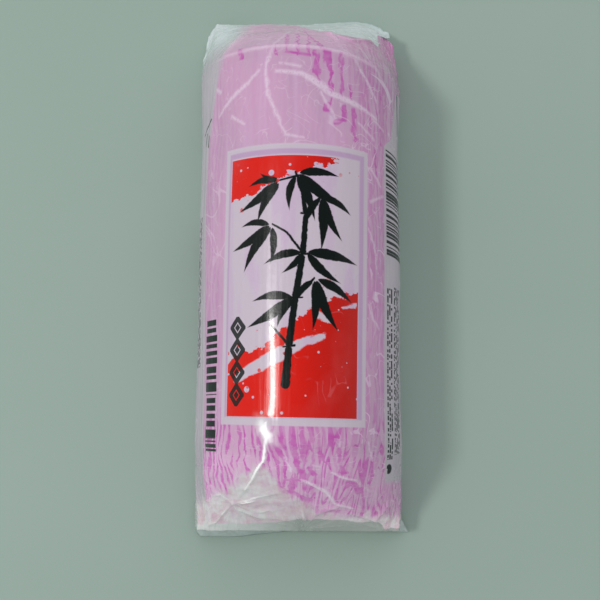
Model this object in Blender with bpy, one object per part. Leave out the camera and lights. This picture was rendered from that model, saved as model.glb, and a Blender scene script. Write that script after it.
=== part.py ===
"""Kamaboko fish cake on its small board, shut in a tight film wrap: one closed solid.

X is the width, Y the length and Z up from the flat resting face. The loaf is an
arched body over the board's straight sides. Both ends slope from the crest down
to the board's end, where the film is folded under and stands out as thin fins.
"""

import math

import bmesh
import bpy
from mathutils import Vector

# Body, in metres.
AXIS_X = -0.0007
HALF_WIDTH = 0.0287
ARCH_BASE = 0.0110
ARCH_RISE = 0.0355
BOARD_HALF = 0.0276
BOARD_TOP = 0.0082
GROOVE_HALF = 0.0281
GROOVE_Z = 0.0098
FOOT_HALF = 0.0272
FOOT_Z = 0.0008

# Length of the crest and of the board, measured from the middle.
CREST_FAR = 0.0525
CREST_NEAR = -0.0500
END_FAR = 0.0752
END_NEAR = -0.0750
END_TOP = 0.0092

# The far crease runs askew: its left side lies further out than its right.
FAR_SKEW = 0.0020
# Fullness of each sloping end: 1 is straight, more is rounder.
FAR_FULL = 1.18
NEAR_FULL = 1.45
# The film stands away from the board beside the near end.
NEAR_FLARE_LEFT = 0.0023
NEAR_FLARE_RIGHT = 0.0012

ARCH_STEPS = 48
BODY_ROWS = 22
END_ROWS = 15

FILM = 0.0009


def smooth(value):
    """Ease a value in 0 to 1 at both ends."""
    value = max(0.0, min(1.0, value))
    return value * value * (3.0 - 2.0 * value)


def end_share(y):
    """Return how far down a sloping end y lies (0 to 1) and which end it is."""
    if y > CREST_FAR:
        return (y - CREST_FAR) / (END_FAR - CREST_FAR), 1
    if y < CREST_NEAR:
        return (CREST_NEAR - y) / (CREST_NEAR - END_NEAR), -1
    return 0.0, 0


def flare(y, side):
    """Return how far the film stands out beside the board at y."""
    most = NEAR_FLARE_LEFT if side < 0 else NEAR_FLARE_RIGHT
    return most * smooth((-0.020 - y) / 0.030)


def crease_relief(angle, share, end):
    """Return the height of the tension folds that fan out over a sloping end."""
    if share <= 0.0 or share >= 1.0:
        return 0.0
    folds = 5.0 if end > 0 else 7.0
    fan = math.cos(folds * angle + 2.2 * share + 0.6 * end)
    soft = math.cos((folds + 4.0) * angle - 3.1 * share)
    reach = math.sin(math.pi * share) * math.cos(angle)
    return (0.00055 * abs(fan) + 0.00020 * soft - 0.0003) * reach


def arch_point(angle, y):
    """Return the film's point over the loaf at an angle from the crest."""
    share, end = end_share(y)
    side = math.sin(angle)
    up = max(0.0, math.cos(angle))
    x = HALF_WIDTH * side
    z = ARCH_BASE + ARCH_RISE * up
    if end:
        full = FAR_FULL if end > 0 else NEAR_FULL
        spread = smooth(abs(angle) / 0.95)
        edge_x = math.copysign(BOARD_HALF * spread, angle)
        drop = share**full
        x = x * (1.0 - share) + edge_x * share
        z = z * (1.0 - drop) + END_TOP * drop
        bump = crease_relief(angle, share, end)
        x += bump * side
        z += bump * up
    askew = FAR_SKEW * -side * smooth((y - 0.030) / 0.022) * (1.0 - share)
    return Vector((x, y + askew, z))


def section(y):
    """Return one closed cross-section of the wrapped loaf, left foot to right foot."""
    share, end = end_share(y)
    ring = []
    lower = 1.0 - smooth((share - 0.90) / 0.10)
    for side in (-1.0, 1.0):
        out = flare(y, side)
        foot = FOOT_HALF + out
        board = BOARD_HALF + out * 0.85
        groove = (GROOVE_HALF + out * 0.55) * lower + board * (1.0 - lower)
        groove_z = GROOVE_Z * lower + (BOARD_TOP + 0.0005) * (1.0 - lower)
        wall = [
            Vector((side * (foot - 0.0005), y, 0.0)),
            Vector((side * foot, y, FOOT_Z)),
            Vector((side * board, y, BOARD_TOP * 0.5)),
            Vector((side * board, y, BOARD_TOP)),
            Vector((side * groove, y, groove_z)),
        ]
        if side < 0:
            ring += wall
            for step in range(ARCH_STEPS + 1):
                angle = (step / ARCH_STEPS - 0.5) * math.pi
                ring.append(arch_point(angle, y))
        else:
            ring += reversed(wall)
    return ring


def row_places():
    """Return the lengthwise places of the cross-sections, near end to far end."""
    rows = []
    for step in range(END_ROWS):
        rows.append(END_NEAR + (CREST_NEAR - END_NEAR) * step / END_ROWS)
    for step in range(BODY_ROWS):
        rows.append(CREST_NEAR + (CREST_FAR - CREST_NEAR) * step / BODY_ROWS)
    for step in range(END_ROWS + 1):
        rows.append(CREST_FAR + (END_FAR - CREST_FAR) * step / END_ROWS)
    return rows


def build_loaf():
    """Skin the cross-sections into one closed body with a flat resting face."""
    mesh = bmesh.new()
    rings = []
    for y in row_places():
        rings.append([mesh.verts.new(point) for point in section(y)])
    for near, far in zip(rings, rings[1:]):
        for left in range(len(near) - 1):
            mesh.faces.new((near[left], near[left + 1], far[left + 1], far[left]))
    mesh.faces.new(list(rings[0]))
    mesh.faces.new(list(reversed(rings[-1])))
    left_foot = [ring[0] for ring in rings]
    right_foot = [ring[-1] for ring in rings]
    mesh.faces.new(left_foot + list(reversed(right_foot)))
    bmesh.ops.recalc_face_normals(mesh, faces=mesh.faces)
    return mesh


def build_fin(outline, lean):
    """Extrude a flat outline into a thin film fin.

    outline holds the corners, each (x, y, z); lean is the thickness as a vector.
    """
    mesh = bmesh.new()
    corners = [mesh.verts.new(Vector(point)) for point in outline]
    face = mesh.faces.new(corners)
    grown = bmesh.ops.extrude_face_region(mesh, geom=[face])
    moved = [item for item in grown["geom"] if isinstance(item, bmesh.types.BMVert)]
    bmesh.ops.translate(mesh, verts=moved, vec=Vector(lean))
    bmesh.ops.triangulate(mesh, faces=mesh.faces)
    bmesh.ops.recalc_face_normals(mesh, faces=mesh.faces)
    return mesh


def film_material():
    """Return the glossy pink film material."""
    material = bpy.data.materials.new("printed_film")
    material.use_nodes = True
    shader = material.node_tree.nodes["Principled BSDF"]
    shader.inputs["Base Color"].default_value = (0.66, 0.36, 0.56, 1.0)
    shader.inputs["Roughness"].default_value = 0.28
    shader.inputs["Metallic"].default_value = 0.0
    return material


def place(name, mesh):
    """Turn a bmesh into a named object, set on the loaf's axis."""
    bmesh.ops.translate(mesh, verts=mesh.verts, vec=Vector((AXIS_X, 0.0, 0.0)))
    data = bpy.data.meshes.new(name)
    mesh.to_mesh(data)
    mesh.free()
    item = bpy.data.objects.new(name, data)
    bpy.context.scene.collection.objects.link(item)
    return item


def join(body, tool):
    """Unite a closed tool with the body and hide the tool from the render."""
    union = body.modifiers.new("unite_" + tool.name, "BOOLEAN")
    union.operation = "UNION"
    union.solver = "EXACT"
    union.object = tool
    tool.hide_render = True
    tool.display_type = "WIRE"


def build():
    """Build the wrapped loaf with its film fins."""
    for item in list(bpy.data.objects):
        bpy.data.objects.remove(item, do_unlink=True)
    body = place("wrapped_loaf", build_loaf())
    for polygon in body.data.polygons:
        polygon.use_smooth = True
    body.data.set_sharp_from_angle(angle=math.radians(32.0))
    body.data.materials.append(film_material())

    up = (0.0, 0.0, FILM)
    fins = {
        # Skirt of sealed film along the near end, drawn out to a point on the right.
        "near_hem": (
            [
                (-0.0292, -0.0700, 0.0006),
                (-0.0303, -0.0745, 0.0006),
                (-0.0288, -0.0778, 0.0006),
                (-0.0180, -0.0779, 0.0006),
                (-0.0010, -0.0760, 0.0006),
                (0.0150, -0.0757, 0.0006),
                (0.0250, -0.0760, 0.0006),
                (0.0321, -0.0762, 0.0006),
                (0.0296, -0.0725, 0.0006),
                (0.0276, -0.0690, 0.0006),
            ],
            up,
        ),
        # Empty film corner beside the far end's left.
        "far_left_ear": (
            [
                (-0.0262, 0.0700, 0.0030),
                (-0.0286, 0.0690, 0.0030),
                (-0.0266, 0.0774, 0.0030),
                (-0.0180, 0.0768, 0.0030),
                (-0.0180, 0.0740, 0.0030),
            ],
            (0.0, 0.0, FILM * 2.0),
        ),
        # Flap folded over the far end's right.
        "far_right_flap": (
            [
                (0.0040, 0.0740, 0.0052),
                (0.0060, 0.0762, 0.0052),
                (0.0172, 0.0779, 0.0052),
                (0.0221, 0.0770, 0.0052),
                (0.0242, 0.0735, 0.0052),
                (0.0240, 0.0715, 0.0052),
            ],
            (0.0, 0.0, FILM * 2.0),
        ),
    }
    for name, (outline, lean) in fins.items():
        join(body, place(name, build_fin(outline, lean)))


build()
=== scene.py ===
"""Looks of a kamaboko fish cake shut in a tight, glossy, pink printed film.

The film is one fine skin over the arched loaf and its board. Its print, folds and
seams are drawn in film places: millimetres across from the crest and along from the
middle. Thin unprinted film stands out at the ends and is folded under the board.
"""

import logging
import math
from dataclasses import dataclass, field
from enum import Enum
from typing import Callable, Sequence, Union

import bpy
import numpy as np
from mathutils import Matrix, Vector


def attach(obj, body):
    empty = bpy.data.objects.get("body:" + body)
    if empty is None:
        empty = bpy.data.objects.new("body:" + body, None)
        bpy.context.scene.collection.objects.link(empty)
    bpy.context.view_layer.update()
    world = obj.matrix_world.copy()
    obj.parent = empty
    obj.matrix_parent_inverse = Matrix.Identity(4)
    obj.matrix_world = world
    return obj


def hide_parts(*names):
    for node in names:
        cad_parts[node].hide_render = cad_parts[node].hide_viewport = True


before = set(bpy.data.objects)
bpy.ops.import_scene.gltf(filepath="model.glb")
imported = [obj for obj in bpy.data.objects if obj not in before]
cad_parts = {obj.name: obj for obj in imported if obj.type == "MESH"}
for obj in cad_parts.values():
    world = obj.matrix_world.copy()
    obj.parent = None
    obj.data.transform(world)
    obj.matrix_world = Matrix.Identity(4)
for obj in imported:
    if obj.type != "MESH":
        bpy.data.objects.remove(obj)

log = logging.getLogger("wrapped_loaf")

Colour = tuple[float, float, float, float]
Spot = tuple[float, float]
Point = tuple[float, float, float]
Stroke = tuple[float, float, float, float, float, float]
Web = tuple[float, float, float, float, float]
Grid = np.ndarray
Node = bpy.types.Node
Piece = bpy.types.Object
Material = bpy.types.Material
Input = Union[float, Sequence[float], "Field"]

MM = 0.001  # metres
PRINT_SPAN = 260.0  # millimetres of film that the map covers each way
PRINT_TILT = 0.0168  # radians that the panel is printed askew
PRINT_TURN = 10.0  # the panel turns about a place this far below the middle
NEAR_CUT = -49.0  # along the film, where the near end's print begins
FAR_CUT = 49.5  # along the film, where the far end's print begins
ARC_STEPS = 3600  # short straight steps that measure the arch
LATTICE = 64  # bumps before the random relief repeats
LIGHT_ON_TABLE = 0.8  # how bright a white surface looks in this light


def seen(red: int, green: int, blue: int) -> Colour:
    """Turn a colour as it looks in soft light into the paint that gives it.

    Args:
        red: Red as seen, 0 to 255.
        green: Green as seen, 0 to 255.
        blue: Blue as seen, 0 to 255.

    Returns:
        The linear colour of the surface.
    """
    paint = []
    for part in (red, green, blue):
        share = part / 255.0
        flat = share / 12.92 if share <= 0.04045 else ((share + 0.055) / 1.055) ** 2.4
        paint.append(min(0.93, flat / LIGHT_ON_TABLE))
    return paint[0], paint[1], paint[2], 1.0


def ease(value: Grid) -> Grid:
    """Ease values from 0 to 1 so that both ends start flat."""
    held = np.clip(value, 0.0, 1.0)
    return held * held * (3.0 - 2.0 * held)


def lattice_noise(across: Grid, along: Grid, seed: int) -> Grid:
    """Make smooth random relief with one bump a unit.

    Args:
        across: First coordinate of each point.
        along: Second coordinate of each point.
        seed: Number that picks the pattern.

    Returns:
        Heights between -1 and 1.
    """
    table = np.random.default_rng(seed).uniform(-1.0, 1.0, (LATTICE, LATTICE))
    left, low = np.floor(across).astype(int), np.floor(along).astype(int)
    tx, ty = ease(across - left), ease(along - low)
    x0, x1 = left % LATTICE, (left + 1) % LATTICE
    y0, y1 = low % LATTICE, (low + 1) % LATTICE
    near = table[y0, x0] * (1 - tx) + table[y0, x1] * tx
    return near * (1 - ty) + (table[y1, x0] * (1 - tx) + table[y1, x1] * tx) * ty


def crumple(across: Grid, along: Grid, seed: int) -> Grid:
    """Make crisp film folds: flat facets that meet in thin ridges.

    Args:
        across: First coordinate of each point, in fold widths.
        along: Second coordinate of each point, in fold widths.
        seed: Number that picks the pattern.

    Returns:
        Heights from 0 in the facets to 1 on the ridges.
    """
    height = np.zeros_like(across)
    share = 0.0
    for turn in range(3):
        angle = 0.9 * turn + 0.35 * seed
        u = across * math.cos(angle) - along * math.sin(angle)
        v = across * math.sin(angle) + along * math.cos(angle)
        grow = 1.0 + 0.8 * turn
        fold = 1.0 - np.abs(lattice_noise(u * grow, v * grow, seed * 7 + turn)) * 2.2
        height += np.clip(fold, -0.2, 1.0) / grow
        share += 1.0 / grow
    return height / share


def fan(across: Grid, along: Grid, spot: Spot, reach: float, seed: int) -> Grid:
    """Make thin folds that run out from the place where film is gathered.

    Args:
        across: First coordinate of each point.
        along: Second coordinate of each point.
        spot: The gathered place.
        reach: How far the folds run.
        seed: Number that picks the pattern.

    Returns:
        Heights from 0 between the folds to 1 on them.
    """
    x, y = across - spot[0], along - spot[1]
    far = np.hypot(x, y)
    turn = np.arctan2(y, x) + 0.1 * lattice_noise(x / 9.0, y / 9.0, seed + 3)
    wide = lattice_noise(turn * 3.4 + 20.0, far / (reach * 0.9), seed)
    fine = lattice_noise(turn * 7.8 + 30.0, far / (reach * 0.7), seed + 1)
    fold = np.clip(1.0 - np.abs(wide) * 3.4, 0.0, 1.0) ** 1.3
    fold += 0.5 * np.clip(1.0 - np.abs(fine) * 3.0, 0.0, 1.0) ** 1.3
    rise = ease(far / (reach * 0.16)) * (1.0 - ease((far - reach * 0.35) / reach))
    return fold / 1.5 * rise


def polyline_gap(across: Grid, along: Grid, points: Sequence[Spot]) -> tuple[Grid, Grid]:
    """Measure how far each point lies from a bent line.

    Args:
        across: First coordinate of each point.
        along: Second coordinate of each point.
        points: Corners of the line.

    Returns:
        The distance to the line, and how far along it the nearest place is, 0 to 1.
    """
    best = np.full(across.shape, 1e9)
    where = np.zeros_like(across)
    steps = len(points) - 1
    for step in range(steps):
        (ax, ay), (bx, by) = points[step], points[step + 1]
        length = max(1e-9, (bx - ax) ** 2 + (by - ay) ** 2)
        share = ((across - ax) * (bx - ax) + (along - ay) * (by - ay)) / length
        share = np.clip(share, 0.0, 1.0)
        gap = np.hypot(across - ax - share * (bx - ax), along - ay - share * (by - ay))
        closer = gap < best
        best = np.where(closer, gap, best)
        where = np.where(closer, (step + share) / steps, where)
    return best, where


@dataclass(frozen=True)
class Crease:
    """One fold of the film, as a bent line in film places."""

    points: tuple[Spot, ...]
    height: float
    width: float
    # How pale the fold is drawn: partly whitening of creased film, partly painted highlight along the fold.
    white_and_sheen: float = 0.5


@dataclass(frozen=True)
class LoafForm:
    """Outer form of the wrapped loaf, in millimetres from its own axis."""

    axis_x: float = -0.7
    half_width: float = 28.7
    arch_base: float = 11.0
    arch_rise: float = 35.5
    board_half: float = 27.6
    crest_far: float = 52.5
    crest_near: float = -50.0
    end_far: float = 75.2
    end_near: float = -75.0
    end_top: float = 9.2
    slope: float = 44.0
    foot: float = 0.45
    pitch: float = 0.54
    wall_steps: int = 14

    def arc(self) -> tuple[Grid, Grid]:
        """Measure the film over the arch.

        Returns:
            Angles round the arch, and the film length from the crest to each.
        """
        angle = np.radians(np.linspace(-90.0, 90.0, ARC_STEPS + 1))
        x = self.half_width * np.sin(angle)
        z = self.arch_base + self.arch_rise * np.cos(angle)
        run = np.concatenate([[0.0], np.cumsum(np.hypot(np.diff(x), np.diff(z)))])
        return angle, run - run[-1] / 2.0

    def girth(self) -> float:
        """Return half the film length over the arch."""
        return float(self.arc()[1][-1])

    def flare(self, y: Grid, side: Grid) -> Grid:
        """Tell how far the film stands out beside the board.

        Args:
            y: Place along the loaf.
            side: Negative on the left, positive on the right.

        Returns:
            The distance outwards, in millimetres.
        """
        near = np.where(side < 0, 1.5, 1.4) * ease((-18.0 - y) / 34.0)
        far = np.where(side < 0, 1.5, 1.9) * ease((y - 30.0) / 26.0)
        return near + far * (1.0 - 0.55 * ease((y - 66.0) / 9.0))

    def over(self, across: Grid, along: Grid) -> Grid:
        """Place film over the arch and down the sloping ends.

        Args:
            across: Film length from the crest, in millimetres.
            along: Film length from the middle, in millimetres.

        Returns:
            Points in millimetres, on the last axis of the array.
        """
        angles, run = self.arc()
        angle = np.interp(across, run, angles)
        far = np.clip((along - self.crest_far) / self.slope, 0.0, 1.0)
        near = np.clip((self.crest_near - along) / self.slope, 0.0, 1.0)
        share = far + near
        y = np.clip(along, self.crest_near, self.crest_far)
        y = y + far * (self.end_far - self.crest_far)
        y = y + near * (self.end_near - self.crest_near)
        full = np.where(along > 0.0, 1.18, 1.45)
        reach = across / self.girth()
        wide = np.sign(across) * ease(np.abs(angle) / 1.15)
        edge = self.board_half * (0.35 * reach + 0.65 * wide)
        drop = share ** full
        x = self.half_width * np.sin(angle) * (1.0 - share) + edge * share
        z = (self.arch_base + self.arch_rise * np.cos(angle)) * (1.0 - drop)
        z = z + self.end_top * drop
        low = np.clip((np.abs(angle) - 1.05) / 0.52, 0.0, 1.0) ** 2
        x = x + np.sign(across) * self.flare(y, across) * low * 0.55
        y = y - 2.0 * np.sin(angle) * ease((y - 30.0) / 22.0) * (1.0 - share)
        return np.stack([x, y, z], axis=-1)

    def grid(self) -> tuple[Grid, Grid, Grid]:
        """Lay out the whole skin: the arch, the sloping ends and the low walls.

        Returns:
            Points by row and column, then the film places across and along.
        """
        half = self.girth()
        columns = 2 * round(half / self.pitch)
        rows = round((self.crest_far - self.crest_near + 2 * self.slope) / self.pitch)
        walls = self.wall_steps
        over = np.linspace(-half, half, columns + 1)
        run = np.linspace(self.crest_near - self.slope, self.crest_far + self.slope, rows + 1)
        across, along = np.meshgrid(over, run)
        top = self.over(across, along)
        full = np.zeros((rows + 1 + 2 * walls, columns + 1 + 2 * walls, 3))
        full[walls:-walls, walls:-walls] = top
        for step in range(1, walls + 1):
            share = step / walls
            left, right = top[:, 0], top[:, -1]
            for edge, column, side in ((left, walls - step, -1.0), (right, -walls - 1 + step, 1.0)):
                y = np.clip(edge[:, 1], self.end_near, self.end_far)
                stand = self.flare(y, np.full(y.shape, side))
                z = edge[:, 2] * (1 - share) + self.foot * share
                bulge = math.sin(math.pi * min(1.0, share * 1.15)) ** 0.7
                ledge = (1 - share) * np.abs(edge[:, 0]) + share * (self.board_half - 0.3 + stand)
                x = side * (ledge + stand * 0.3 * bulge)
                full[walls:-walls, column] = np.stack([x, edge[:, 1], z], -1)
            for row, source, way in ((walls - step, 0, -1.0), (-walls - 1 + step, -1, 1.0)):
                edge = top[source]
                z = edge[:, 2] * (1 - share) + self.foot * share
                grow = full[walls if way < 0 else -walls - 1, [walls - step, -walls - 1 + step]]
                reach = np.abs(edge[:, 0]) / self.board_half
                wide = np.where(edge[:, 0] < 0, -grow[0, 0], grow[1, 0])
                x = np.sign(edge[:, 0]) * reach * wide
                x = np.where(reach > 1.0, np.sign(edge[:, 0]) * wide, x)
                out = 0.35 * math.sin(math.pi * share) * (1.0 - reach ** 4)
                y = edge[:, 1] + way * np.clip(out, 0.0, 1.0)
                full[row, walls:-walls] = np.stack([x, y, z], -1)
        corner = np.clip((full[..., 0] - 16.5) / 11.5, 0.0, 1.1) ** 2
        full[..., 1] -= 6.6 * corner * ease((full[..., 1] - 50.0) / 20.0)
        corner = np.clip((-full[..., 0] - 25.2) / 3.6, 0.0, 1.1)
        full[..., 1] -= 5.6 * corner * ease((full[..., 1] - 60.0) / 12.0)
        step = over[1] - over[0]
        wide = (columns / 2 + walls) * step
        stride = run[1] - run[0]
        middle = (self.crest_near + self.crest_far) / 2.0
        long = (rows / 2 + walls) * stride
        places = np.meshgrid(
            np.linspace(-wide, wide, columns + 1 + 2 * walls),
            np.linspace(middle - long, middle + long, rows + 1 + 2 * walls),
        )
        return full, places[0], places[1]


class Workbench:
    """Small modelling steps that every piece shares."""

    @staticmethod
    def clear_selection() -> None:
        """Leave edit mode and deselect everything."""
        if bpy.context.object and bpy.context.object.mode != "OBJECT":
            bpy.ops.object.mode_set(mode="OBJECT")
        bpy.ops.object.select_all(action="DESELECT")

    @staticmethod
    def take(piece: Piece) -> None:
        """Make one piece the only selected and active one.

        Args:
            piece: The object to work on.
        """
        Workbench.clear_selection()
        piece.select_set(True)
        bpy.context.view_layer.objects.active = piece

    @staticmethod
    def edit(piece: Piece, choose: Callable[[Vector], bool]) -> None:
        """Open a piece in edit mode with the chosen faces selected.

        Args:
            piece: The object to open.
            choose: Says from a face's centre whether to select it.
        """
        Workbench.take(piece)
        bpy.ops.object.mode_set(mode="EDIT")
        bpy.ops.mesh.select_mode(type="FACE")
        bpy.ops.mesh.select_all(action="DESELECT")
        bpy.ops.object.mode_set(mode="OBJECT")
        for face in piece.data.polygons:
            face.select = bool(choose(face.center))
        bpy.ops.object.mode_set(mode="EDIT")

    @staticmethod
    def settle(piece: Piece) -> None:
        """Apply an object's place and modifiers, so that all of it is in its mesh.

        Args:
            piece: The object to finish.
        """
        Workbench.take(piece)
        bpy.ops.object.transform_apply(location=True, rotation=True, scale=True)
        for modifier in list(piece.modifiers):
            bpy.ops.object.modifier_apply(modifier=modifier.name)

    @staticmethod
    def outward(piece: Piece, doubles: float = 0.0) -> None:
        """Merge doubles and turn every face of a closed piece outwards.

        Args:
            piece: The object to mend.
            doubles: Merge distance in metres, or 0 to merge nothing.
        """
        Workbench.take(piece)
        bpy.ops.object.mode_set(mode="EDIT")
        bpy.ops.mesh.select_all(action="SELECT")
        if doubles:
            bpy.ops.mesh.remove_doubles(threshold=doubles)
        bpy.ops.mesh.normals_make_consistent(inside=False)
        bpy.ops.object.mode_set(mode="OBJECT")

    @staticmethod
    def sheet(name: str, columns: int, rows: int) -> Piece:
        """Add a square sheet of faces, one unit wide, with an even UV map.

        Args:
            name: Name of the new object.
            columns: Faces across.
            rows: Faces along.

        Returns:
            The new object.
        """
        Workbench.clear_selection()
        bpy.ops.mesh.primitive_grid_add(
            x_subdivisions=columns, y_subdivisions=rows, size=1.0, calc_uvs=True,
        )
        piece = bpy.context.object
        piece.name = name
        piece.data.name = name
        piece.data.uv_layers[0].name = "film"
        return piece

    @staticmethod
    def lay(piece: Piece, points: Grid) -> None:
        """Lay a unit sheet's vertices on a grid of points.

        Args:
            piece: A sheet from Workbench.sheet.
            points: Rows by columns of places, in metres.
        """
        rows, columns = points.shape[0] - 1, points.shape[1] - 1
        flat = np.empty(len(piece.data.vertices) * 3)
        piece.data.vertices.foreach_get("co", flat)
        flat = flat.reshape(-1, 3)
        column = np.rint((flat[:, 0] + 0.5) * columns).astype(int)
        row = np.rint((flat[:, 1] + 0.5) * rows).astype(int)
        piece.data.vertices.foreach_set("co", points[row, column].ravel())
        piece.data.update()


class Field:
    """A value that changes over the surface, joined to others by plain arithmetic."""

    def __init__(self, desk: "NodeDesk", socket: bpy.types.NodeSocket) -> None:
        """Keep the desk and the socket that puts the value out."""
        self.desk = desk
        self.socket = socket

    def __add__(self, other: Input) -> "Field":
        """Add a value."""
        return self.desk.math("ADD", self, other)

    def __sub__(self, other: Input) -> "Field":
        """Take a value away."""
        return self.desk.math("SUBTRACT", self, other)

    def __rsub__(self, other: Input) -> "Field":
        """Take this value away from a number."""
        return self.desk.math("SUBTRACT", other, self)

    def __mul__(self, other: Input) -> "Field":
        """Multiply by a value."""
        return self.desk.math("MULTIPLY", self, other)

    def __truediv__(self, other: Input) -> "Field":
        """Divide by a value."""
        return self.desk.math("DIVIDE", self, other)

    def __rtruediv__(self, other: Input) -> "Field":
        """Divide a number by this value."""
        return self.desk.math("DIVIDE", other, self)

    def __pow__(self, other: Input) -> "Field":
        """Raise to a power."""
        return self.desk.math("POWER", self, other)

    def __abs__(self) -> "Field":
        """Drop the sign."""
        return self.desk.math("ABSOLUTE", self)

    def __or__(self, other: Input) -> "Field":
        """Join two masks: the larger value counts."""
        return self.desk.math("MAXIMUM", self, other)

    def __and__(self, other: Input) -> "Field":
        """Keep what two masks share: the smaller value counts."""
        return self.desk.math("MINIMUM", self, other)

    def line(self, slope: Input, start: Input) -> "Field":
        """Multiply by one value and add another."""
        return self.desk.math("MULTIPLY_ADD", self, slope, start)

    def floor(self) -> "Field":
        """Round down."""
        return self.desk.math("FLOOR", self)

    def sine(self) -> "Field":
        """Take the sine."""
        return self.desk.math("SINE", self)

    def held(self) -> "Field":
        """Hold the value that a Math node has just put out within 0 and 1."""
        self.socket.node.use_clamp = True
        return self

    def step(self, low: float, high: float) -> "Field":
        """Ease the value from 0 at low to 1 at high."""
        values = {"Value": self, "From Min": low, "From Max": high}
        return self.desk.out("ShaderNodeMapRange", values, interpolation_type="SMOOTHSTEP")


class NodeDesk:
    """Places shader nodes in one tree and joins them with short calls."""

    def __init__(self, tree: bpy.types.NodeTree) -> None:
        """Open a tree."""
        self.tree = tree
        self.count = 0

    def add(self, kind: str, values: dict, **settings: object) -> Node:
        """Add one node.

        Args:
            kind: Blender's name of the node type.
            values: What its inputs get, by their names or numbers.
            **settings: Properties to set on it.

        Returns:
            The new node.
        """
        node = self.tree.nodes.new(kind)
        node.location = (180 * (self.count // 8), -160 * (self.count % 8))
        self.count += 1
        for name, value in settings.items():
            setattr(node, name, value)
        return self.fill(node, values)

    def fill(self, node: Node, values: dict) -> Node:
        """Link a node's inputs, or set their own values.

        Args:
            node: The node.
            values: A field or a constant for each input, by its name or number.

        Returns:
            The same node.
        """
        for name, value in values.items():
            if isinstance(value, Field):
                self.tree.links.new(value.socket, node.inputs[name])
            else:
                node.inputs[name].default_value = value
        return node

    def field(self, node: Node, name: Union[int, str] = 0) -> Field:
        """Return one of a node's outputs as a field."""
        return Field(self, node.outputs[name])

    def out(self, kind: str, values: dict, **settings: object) -> Field:
        """Add one node and return its first output."""
        return self.field(self.add(kind, values, **settings))

    def math(self, operation: str, *values: Input) -> Field:
        """Add a Math node."""
        return self.out("ShaderNodeMath", dict(enumerate(values)), operation=operation)

    def vector(self, operation: str, first: Input, second: Input = (0.0, 0.0, 0.0)) -> Field:
        """Add a Vector Math node.

        Args:
            operation: Blender's name of the operation.
            first: First vector.
            second: Second vector, or the factor of SCALE.

        Returns:
            The vector, or the number where the operation puts out one.
        """
        values = {0: first, "Scale" if operation == "SCALE" else 1: second}
        node = self.add("ShaderNodeVectorMath", values, operation=operation)
        return self.field(node, int(operation in ("LENGTH", "DOT_PRODUCT")))

    def parts(self, place: Field) -> tuple[Field, Field]:
        """Split a place into its two film lengths."""
        node = self.add("ShaderNodeSeparateXYZ", {0: place})
        return self.field(node, 0), self.field(node, 1)

    def place(self, across: Input, along: Input) -> Field:
        """Join two lengths into a place."""
        return self.out("ShaderNodeCombineXYZ", {0: across, 1: along})

    def picks(self, colour: Field) -> tuple[Field, Field, Field]:
        """Split a random colour into three random numbers."""
        node = self.add("ShaderNodeSeparateColor", {0: colour})
        return self.field(node, 0), self.field(node, 1), self.field(node, 2)

    def blend(self, share: Input, base: Input, over: Input) -> Field:
        """Lay one colour over another."""
        values = {0: share, 6: base, 7: over}
        return self.field(self.add("ShaderNodeMix", values, data_type="RGBA"), 2)

    def flat_noise(self, place: Input, **values: float) -> Field:
        """Add a flat noise texture of scale 1.

        Args:
            place: The vector to read.
            **values: Its other inputs, by their names in small letters.

        Returns:
            The noise, 0 to 1.
        """
        named = {name.title(): value for name, value in values.items()}
        inputs = {"Vector": place, "Scale": 1.0, **named}
        return self.out("ShaderNodeTexNoise", inputs, noise_dimensions="2D")

    def noise(
        self, place: Field, scale: Union[float, Spot], detail: float, rough: float,
        shift: Spot = (0.0, 0.0),
    ) -> Field:
        """Add a flat noise in film places.

        Args:
            place: The vector to read.
            scale: Bumps a millimetre, one number or one each way.
            detail: Layers of finer noise.
            rough: Strength of the finer layers.
            shift: Offset that picks another part of the noise.

        Returns:
            The noise, 0 to 1.
        """
        wide, long = (scale, scale) if isinstance(scale, float) else scale
        values = {"Vector": place, "Scale": (wide, long, 1.0), "Location": (*shift, 0.0)}
        spot = self.out("ShaderNodeMapping", values)
        return self.flat_noise(spot, detail=detail, roughness=rough)

    def profile(self, value: Field, points: Sequence[Spot]) -> Field:
        """Read a film place through a line given point by point.

        Args:
            value: A place in millimetres, -100 to 100.
            points: Places on the line, in the order of the first number.

        Returns:
            The line's other number, in millimetres.
        """
        node = self.add("ShaderNodeFloatCurve", {"Value": value.line(0.005, 0.5)})
        line = node.mapping.curves[0]
        spots = [(0.5 + x / 200.0, 0.5 + y / 200.0) for x, y in points]
        spots = [(0.0, spots[0][1]), *spots, (1.0, spots[-1][1])]
        line.points[0].location = spots[0]
        line.points[1].location = spots[-1]
        for spot in spots[1:-1]:
            line.points.new(*spot)
        for point in line.points:
            point.handle_type = "VECTOR"
        node.mapping.update()
        return self.field(node).line(200.0, -100.0)

    def group(self, tree: bpy.types.NodeTree, **inputs: Input) -> Field:
        """Place a node group and return its first output."""
        named = {name.replace("_", " ").title(): value for name, value in inputs.items()}
        return self.out("ShaderNodeGroup", named, node_tree=tree)


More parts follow.
